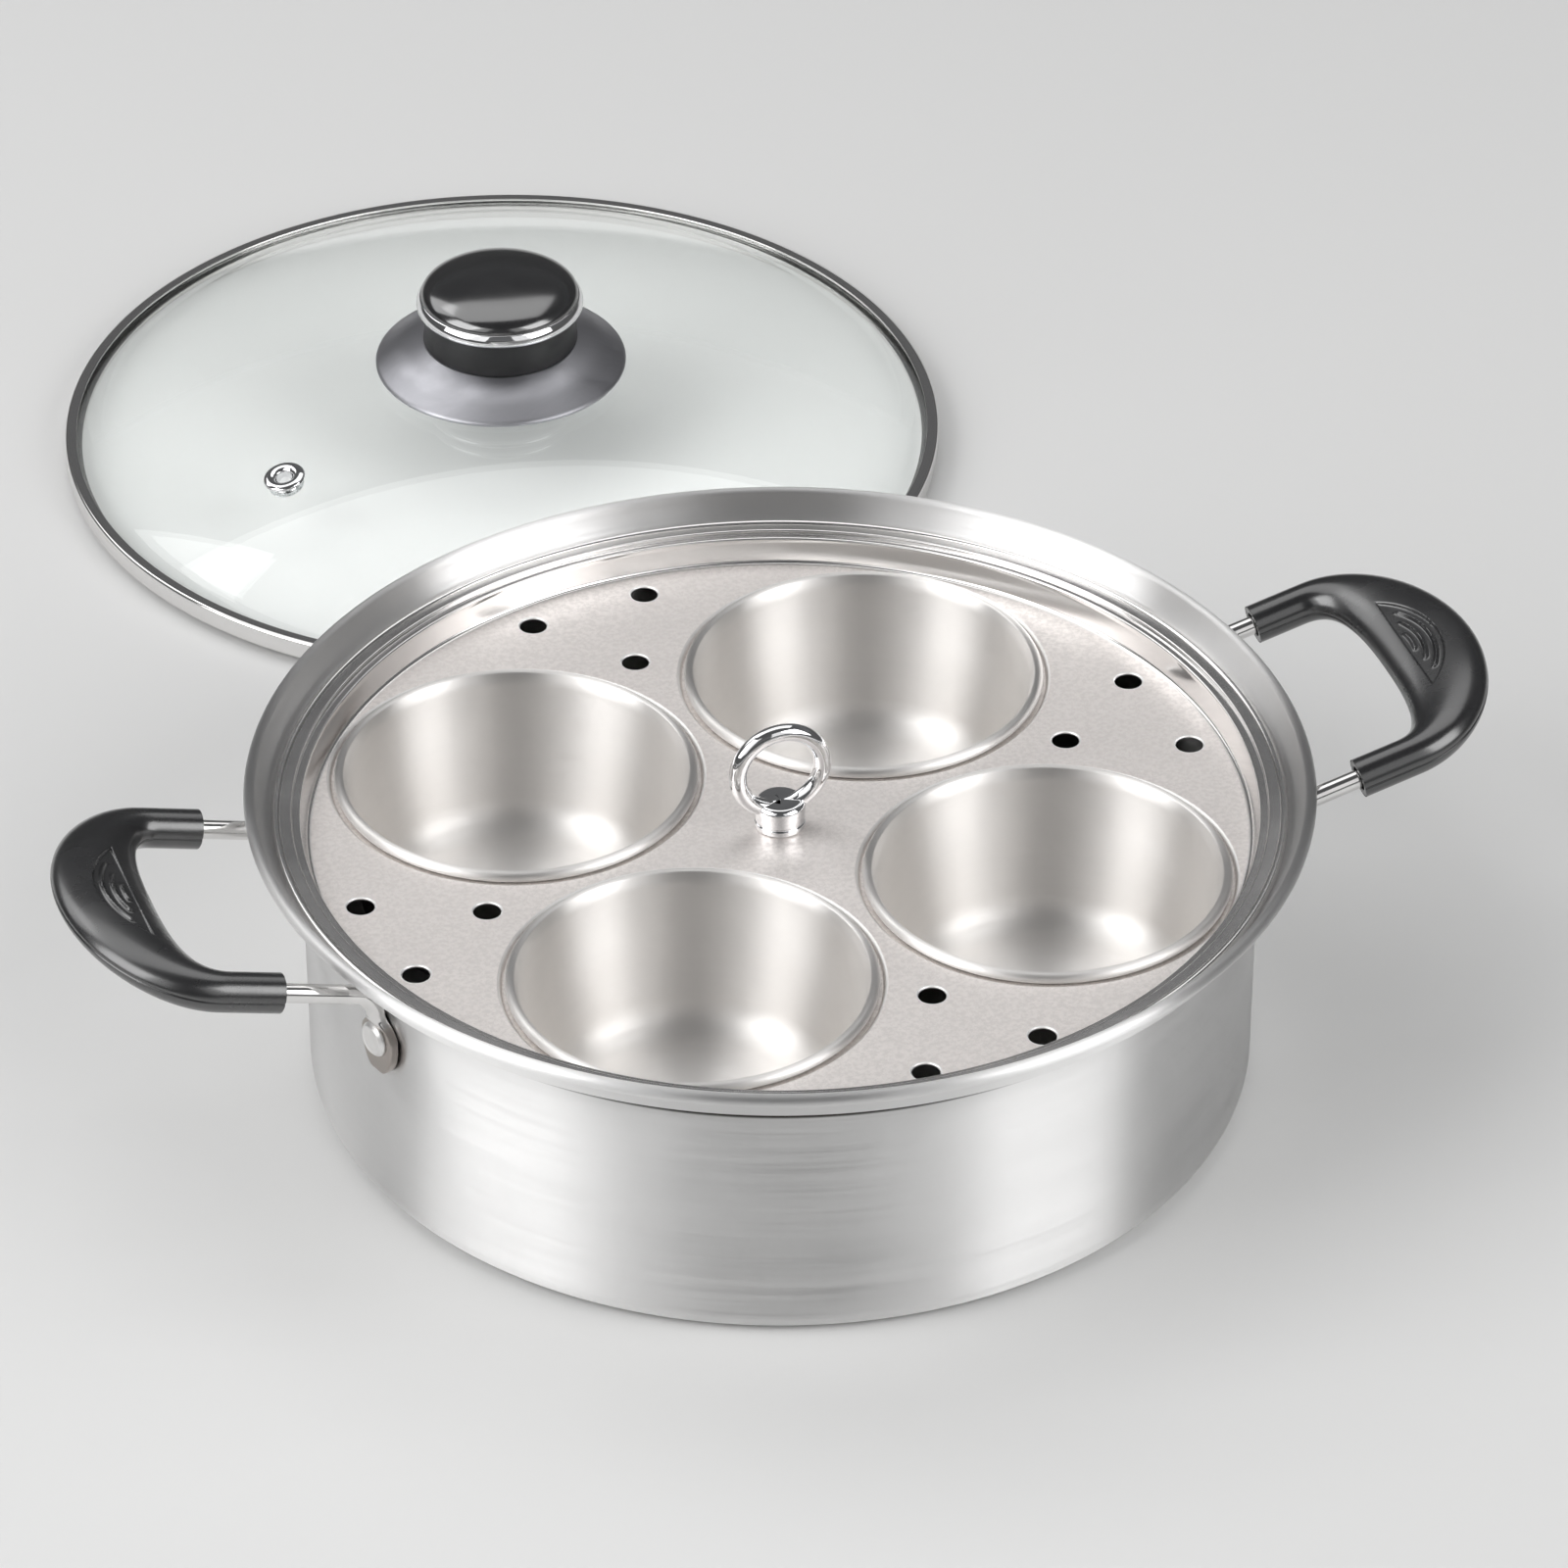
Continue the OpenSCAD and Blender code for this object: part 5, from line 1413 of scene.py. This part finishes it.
@dataclass
class Lid:
    """The glass dome in its steel band, with the vent and the stacked knob."""

    centre: tuple[float, float]
    radius: float
    band_top_z: float
    apex_z: float
    neck_foot_z: float
    neck_top_z: float
    trim_top_z: float
    cap_top_z: float
    skirt_r: float
    skirt_edge_z: float
    band_rise: float = 1.6
    band_t: float = 0.6
    band_top: float = 3.0
    band_low: float = 5.0
    band_edge: float = 0.9
    glass_t: float = 4.0
    glass_clear: float = 0.3
    screw_hole_r: float = 3.5
    vent_r: float = 70.6
    vent_bearing: float = 200.8
    eyelet_d: float = 10.9
    eyelet_hole: float = 4.4
    eyelet_t: float = 0.8
    eyelet_gap: float = 0.15
    skirt_t: float = 1.8
    hub_r: float = 10.0
    knob_bore_r: float = 3.0
    neck_r: float = 20.0
    trim_out: float = 1.6
    trim_in: float = 3.0
    cap_in: float = 1.2
    peg_r: float = 3.0
    peg_h: float = 2.8

    @classmethod
    def from_frame(cls) -> "Lid":
        """Reads the lid's place and the knob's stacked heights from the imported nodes."""
        low, high = node_box("lid_band")
        middle = (low + high) / 2
        trim_low, trim_high = node_box("knob_trim_ring")
        skirt_low, skirt_high = node_box("knob_skirt")
        lid = cls(centre=(middle[0], middle[1]), radius=(high[0] - low[0]) / 2, band_top_z=high[2],
                  apex_z=node_box("knob_gasket_upper")[0][2], neck_foot_z=node_box("knob_neck")[0][2],
                  neck_top_z=trim_low[2], trim_top_z=trim_high[2], cap_top_z=node_box("knob_cap")[1][2],
                  skirt_r=(skirt_high[0] - skirt_low[0]) / 2, skirt_edge_z=skirt_low[2])
        return lid

    @property
    def glass_edge_z(self) -> float:
        """Height of the glass rim's upper face, under the band's flange."""
        return self.band_top_z - self.band_t

    @property
    def bend_r(self) -> float:
        """Radius where the dome meets the flat edge."""
        return self.radius - self.band_t - self.band_top - 2 * self.glass_clear

    @property
    def sphere_r(self) -> float:
        """Radius of the dome's sphere, from its chord and its height."""
        rise = self.apex_z - self.glass_edge_z
        return (self.bend_r ** 2 + rise ** 2) / (2 * rise)

    @property
    def sphere_z(self) -> float:
        """Height of the dome's centre."""
        return self.apex_z - self.sphere_r

    def placed(self, shell: Shell) -> Shell:
        """Carries a shell from the axis to the lid's place."""
        return shell.moved(shift_by(*self.centre, 0))

    def glass_profile(self) -> np.ndarray:
        """The glass as a loop: outer sphere, flat edge, inner sphere, and the wall of the screw's hole."""
        tilt = math.degrees(math.asin(self.bend_r / self.sphere_r))
        hole = math.degrees(math.asin(self.screw_hole_r / self.sphere_r))
        inner_r = self.sphere_r - self.glass_t
        edge_r = self.radius - self.band_t - self.glass_clear
        low_z = self.band_rise + self.band_t + self.glass_clear
        edge = rounded([[self.bend_r, self.glass_edge_z], [edge_r, self.glass_edge_z - 0.1], [edge_r, low_z],
                        [self.bend_r - 1.2, low_z]], [0, 0.6, 0.9, 0])
        return np.concatenate([arc(0, self.sphere_z, self.sphere_r, 90 - hole, 90 - tilt + 0.2, 56),
                               edge[1:-1], arc(0, self.sphere_z, inner_r, 90 - tilt + 0.7, 90 - hole, 56)])

    def vent_place(self) -> np.ndarray:
        """Carries the eyelet from the origin to the dome's surface, along the dome's radius there."""
        tilt = math.degrees(math.asin(self.vent_r / self.sphere_r))
        return shift_by(*self.centre, 0) @ turn_about("Z", self.vent_bearing) \
            @ shift_by(0, 0, self.sphere_z) @ turn_about("Y", tilt) @ shift_by(0, 0, self.sphere_r)

    def build_glass(self, finishes: Finishes) -> None:
        """Builds the dome with its vent hole."""
        piece = to_object("lid_glass_dome", self.placed(turned(self.glass_profile(), 224, closed=True)), 40)
        r = self.eyelet_hole / 2 + self.eyelet_t + self.glass_clear
        outline = np.array([[0, -self.glass_t - 3], [r, -self.glass_t - 3], [r, 3], [0, 3]], float)
        cut_mesh(piece, turned(outline, 64).moved(self.vent_place()), "DIFFERENCE")
        piece.data.shade_smooth()
        piece.data.set_sharp_from_angle(angle=math.radians(35))
        centre_m = (self.centre[0] * MM, self.centre[1] * MM)
        dress(piece, "lid", "glass", ClearGlass().build(finishes.effects, centre_m), "lid_glass")

    def build_band(self, finishes: Finishes) -> None:
        """Builds the channel rolled round the glass, with its skirt down to the table."""
        t, edge, r = self.band_t, self.band_edge, self.radius
        skirt_r, top = r - self.band_low, self.band_top_z
        outline = np.concatenate([
            rounded([[skirt_r, 0], [skirt_r + t, 0], [skirt_r + t, self.band_rise],
                     [r - edge, self.band_rise]], [0, 0.15, 0.4, 0]),
            arc(r - edge, self.band_rise + edge, edge, -90, 0, 8)[1:],
            arc(r - edge, top - edge, edge, 0, 90, 8),
            rounded([[r - edge - 0.1, top], [r - self.band_top, top], [r - self.band_top, top - t],
                     [r - t, top - t], [r - t, self.band_rise + t], [skirt_r, self.band_rise + t],
                     [skirt_r, 0]],
                    [0, 0.2, 0.2, 0.2, 0.2, 0.4, 0])[:-1]])
        piece = to_object("lid_steel_band", self.placed(turned(outline, 256, closed=True)), 45)
        centre_m = (self.centre[0] * MM, self.centre[1] * MM)
        dress(piece, "lid", "polished_steel", finishes.turned_steel(BAND_STEEL, centre_m), "lid_band")

    def build_eyelet(self, finishes: Finishes) -> None:
        """Builds the crimped eyelet as one loop: outer flange, bore and inner flange."""
        bore, tube = self.eyelet_hole / 2, self.eyelet_hole / 2 + self.eyelet_t
        flange, gap, low = self.eyelet_d / 2, self.eyelet_gap, -self.glass_t - self.eyelet_gap
        outline = rounded([[bore, low - 1.0], [flange - 1.4, low - 1.0], [flange - 0.8, low], [tube, low],
                           [tube, gap], [flange, gap], [flange - 0.2, gap + 0.55], [flange - 1.2, gap + 1.05],
                           [bore + 0.8, gap + 0.95], [bore, gap + 0.3]],
                          [0.3, 0.3, 0.2, 0.1, 0.1, 0.15, 0.4, 0.6, 0.6, 0.3], 5, closed=True)
        piece = to_object("steam_vent_eyelet", turned(outline, 72, closed=True).moved(self.vent_place()), 45)
        dress(piece, "lid", "polished_steel", finishes.plain(CHROME), "vent_eyelet")

    def knob_outlines(self) -> dict[str, tuple[np.ndarray, bool]]:
        """Outlines of the knob's shown pieces, and whether each is a loop."""
        r, foot, top = self.neck_r, self.neck_foot_z, self.neck_top_z
        edge_z, t, lip = self.skirt_edge_z, self.skirt_t, self.skirt_r
        rise = foot - edge_z
        skirt = rounded([[self.knob_bore_r, self.apex_z + 1], [self.hub_r, self.apex_z + 1],
                         [self.hub_r, foot - t - 0.6], [r - 1, foot - t], [lip - 1.4, edge_z],
                         [lip - 0.4, edge_z], [lip, edge_z + 0.4], [lip, edge_z + 0.9], [lip - 0.5, edge_z + 1.4],
                         [(lip + r) / 2, edge_z + 0.66 * rise], [r + 0.5, foot - 0.2], [r, foot],
                         [self.knob_bore_r, foot]],
                        [0, 0.3, 0.3, 1, 0.4, 0.3, 0.3, 0.3, 1.5, 3, 0.6, 0.2, 0], 6, closed=True)
        spigot = r - self.trim_in
        neck = rounded([[0, foot], [r, foot], [r - 0.5, (foot + top) / 2], [r, top], [spigot, top],
                        [spigot, self.trim_top_z - 0.3], [0, self.trim_top_z - 0.3]],
                       [0, 0.4, 3, 0.4, 0.2, 0.3, 0])
        trim_r = r + self.trim_out
        cap_r = trim_r - self.cap_in
        high = self.trim_top_z
        trim = rounded([[spigot + 0.05, top], [trim_r - 0.9, top], [trim_r - 0.15, top + 0.6],
                        [trim_r, top + 1.5], [trim_r - 0.35, high - 1.1], [cap_r + 0.15, high], [spigot + 0.05, high]],
                       [0.1, 0.4, 0.6, 0.8, 0.8, 0.3, 0.1], 6, closed=True)
        a = np.radians(np.linspace(0, 90, 40))
        rise = self.cap_top_z - high
        dome = np.stack([cap_r * np.cos(a) ** 0.85, high + rise * np.sin(a)], -1)
        dome[-1, 0] = 0
        cap = np.concatenate([[[0, high - self.peg_h], [self.peg_r, high - self.peg_h], [self.peg_r, high]],
                              [[cap_r - 0.3, high + 0.01]], dome + [0, 0.02]])
        cap[:, 1] = np.minimum(cap[:, 1], self.cap_top_z)
        return {"knob_skirt": (skirt, True), "knob_neck": (neck, False), "knob_trim_ring": (trim, True),
                "knob_cap": (cap, False)}

    def build_knob(self, finishes: Finishes) -> None:
        """Builds the knob's shown pieces and paints those inside it."""
        looks = {"knob_skirt": ("knob_flared_skirt", "skirt_metal", SKIRT_METAL),
                 "knob_neck": ("knob_black_neck", "knob_plastic", NECK_PLASTIC),
                 "knob_trim_ring": ("knob_bright_trim", "chrome", CHROME),
                 "knob_cap": ("knob_domed_cap", "knob_plastic", KNOB_PLASTIC)}
        outlines = self.knob_outlines()
        for node, (name, slot, finish) in looks.items():
            outline, closed = outlines[node]
            piece = to_object(name, self.placed(turned(outline, 160, closed)), 45)
            dress(piece, "lid", slot, finishes.plain(finish), node)
        for node in ("knob_gasket_upper", "knob_gasket_lower"):
            paint(node, finishes.plain(GASKET_RUBBER))
        for node in ("knob_washer", "knob_screw"):
            paint(node, finishes.plain(PLATED_STEEL))
        paint("knob_insert", finishes.plain(BRASS))

    def build(self, finishes: Finishes) -> None:
        """Builds the whole lid."""
        self.build_glass(finishes)
        self.build_band(finishes)
        self.build_eyelet(finishes)
        self.build_knob(finishes)


# The studio


@dataclass
class Studio:
    """Camera, floor, soft lamps and world."""

    camera_m: tuple[float, float, float] = (-0.5799, -1.6985, 1.3277)
    look_down: float = 34.903
    look_turn: float = -18.88
    lens: float = 215.6
    floor_colour: tuple[float, float, float] = (0.76, 0.76, 0.755)

    def place_camera(self) -> None:
        """Sets the camera at the photograph's angle and framing."""
        data = bpy.data.cameras.new("photo_camera")
        data.lens = self.lens
        camera = bpy.data.objects.new("photo_camera", data)
        camera.location = self.camera_m
        camera.rotation_euler = (math.radians(90 - self.look_down), 0, math.radians(self.look_turn))
        bpy.context.scene.collection.objects.link(camera)
        bpy.context.scene.camera = camera

    def lay_floor(self) -> None:
        """Lays a wide pale floor that curves up far behind, as a studio's backdrop does."""
        a = np.radians(np.linspace(0, 360, 96, endpoint=False))[None, :]
        r = np.array([0.02, 0.5, 1.5, 4.0, 7.0, 8.5, 9.3, 9.8, 10.0])[:, None]
        z = np.array([0, 0, 0, 0, 0, 0.35, 1.0, 2.0, 4.5])[:, None]
        rings = np.stack([r * np.cos(a), r * np.sin(a), z + 0 * a], -1) * 1000 + [0, 0, -0.05]
        around = rings.shape[1]
        index = np.arange(rings.shape[0] * around).reshape(-1, around)
        quads = np.stack([index[:-1], np.roll(index[:-1], -1, 1), np.roll(index[1:], -1, 1), index[1:]], -1)
        mesh = bpy.data.meshes.new("studio_floor")
        mesh.from_pydata((rings.reshape(-1, 3) * MM).tolist(), [], quads.reshape(-1, 4).tolist()
                         + [index[0][::-1].tolist()])
        mesh.shade_smooth()
        material = bpy.data.materials.new("studio_floor")
        material.use_nodes = True
        shader = material.node_tree.nodes["Principled BSDF"]
        shader.inputs["Base Color"].default_value = (*self.floor_colour, 1)
        shader.inputs["Roughness"].default_value = 0.55
        shader.inputs["Specular IOR Level"].default_value = 0.2
        mesh.materials.append(material)
        floor = bpy.data.objects.new("studio_floor", mesh)
        bpy.context.scene.collection.objects.link(floor)

    def hang_lamp(self, name: str, bearing: float, height: float, distance_m: float,
                  size_m: tuple[float, float], watts: float) -> None:
        """Hangs a soft rectangular lamp that faces the pan.

        Args:
            name: The lamp's name.
            bearing: Angle round the pan from the camera, to the camera's right.
            height: Angle above the floor.
            distance_m: Distance from the pan.
            size_m: Width and height.
            watts: Its power.
        """
        data = bpy.data.lights.new(name, "AREA")
        data.shape, data.size, data.size_y, data.energy = "RECTANGLE", *size_m, watts
        lamp = bpy.data.objects.new(name, data)
        turn = math.radians(self.look_turn + bearing)
        up = math.radians(height)
        middle = np.array([0.0, 0.07, 0.04])
        away = np.array([math.sin(turn) * math.cos(up), -math.cos(turn) * math.cos(up), math.sin(up)])
        lamp.location = middle + away * distance_m
        lamp.rotation_euler = (math.radians(90 - height), 0, turn)
        bpy.context.scene.collection.objects.link(lamp)

    def light(self) -> None:
        """Hangs soft lamps at both sides and overhead, and sets a plain grey world."""
        for name, bearing, height, away, size, power in (
                ("left", -64, 34, 1.9, (1.3, 1.5), 21.0), ("left_front", -33, 34, 1.9, (0.8, 1.4), 3.2),
                ("right", 62, 32, 2.0, (1.2, 1.4), 18.0), ("right_front", 33, 32, 2.0, (0.8, 1.4), 2.6),
                ("back_left", -125, 38, 2.0, (1.0, 1.0), 5.0), ("overhead", -166, 66, 1.9, (2.3, 1.3), 12.0)):
            self.hang_lamp(f"{name}_soft_lamp", bearing, height, away, size, power)
        world = bpy.data.worlds.new("studio_world")
        bpy.context.scene.world = world
        world.use_nodes = True
        tree = Tree(world.node_tree)
        world.node_tree.nodes.clear()
        coordinates = tree.add("ShaderNodeTexCoord")
        up = tree.add("ShaderNodeSeparateXYZ", {0: coordinates.outputs["Generated"]}).outputs[2]
        strength = tree.ramp(up, -0.1, 0.9, 0.22, 0.09)
        back = tree.add("ShaderNodeBackground", {"Color": (0.97, 0.98, 1.0, 1), "Strength": strength})
        tree.add("ShaderNodeOutputWorld", {"Surface": back.outputs[0]})

    def build(self) -> None:
        """Sets up camera, floor and light."""
        bpy.context.scene.view_settings.view_transform = "Standard"
        self.place_camera()
        self.lay_floor()
        self.light()


def main() -> None:
    """Builds the pan's pieces in order, then the studio round it."""
    logging.basicConfig(level=logging.INFO, format="%(name)s: %(message)s")
    finishes = Finishes()
    pot = Pot.from_frame()
    pot.build(finishes)
    elbow_z = pot.crease_z - 4.9
    for side in Side:
        Handle(side, pot.wall_r, elbow_z).build(finishes)
    tray = Tray.from_frame()
    tray.build(finishes)
    LiftRing(tray.plate_z).build(finishes)
    for place in Cup:
        top_z = node_box(f"egg_cup_{place.label}")[1][2]
        EggCup(place, tray.seat_centre(place.value), tray.cup_rim_r, top_z).build(finishes)
    Lid.from_frame().build(finishes)
    Studio().build()


if __name__ == "__main__":
    main()
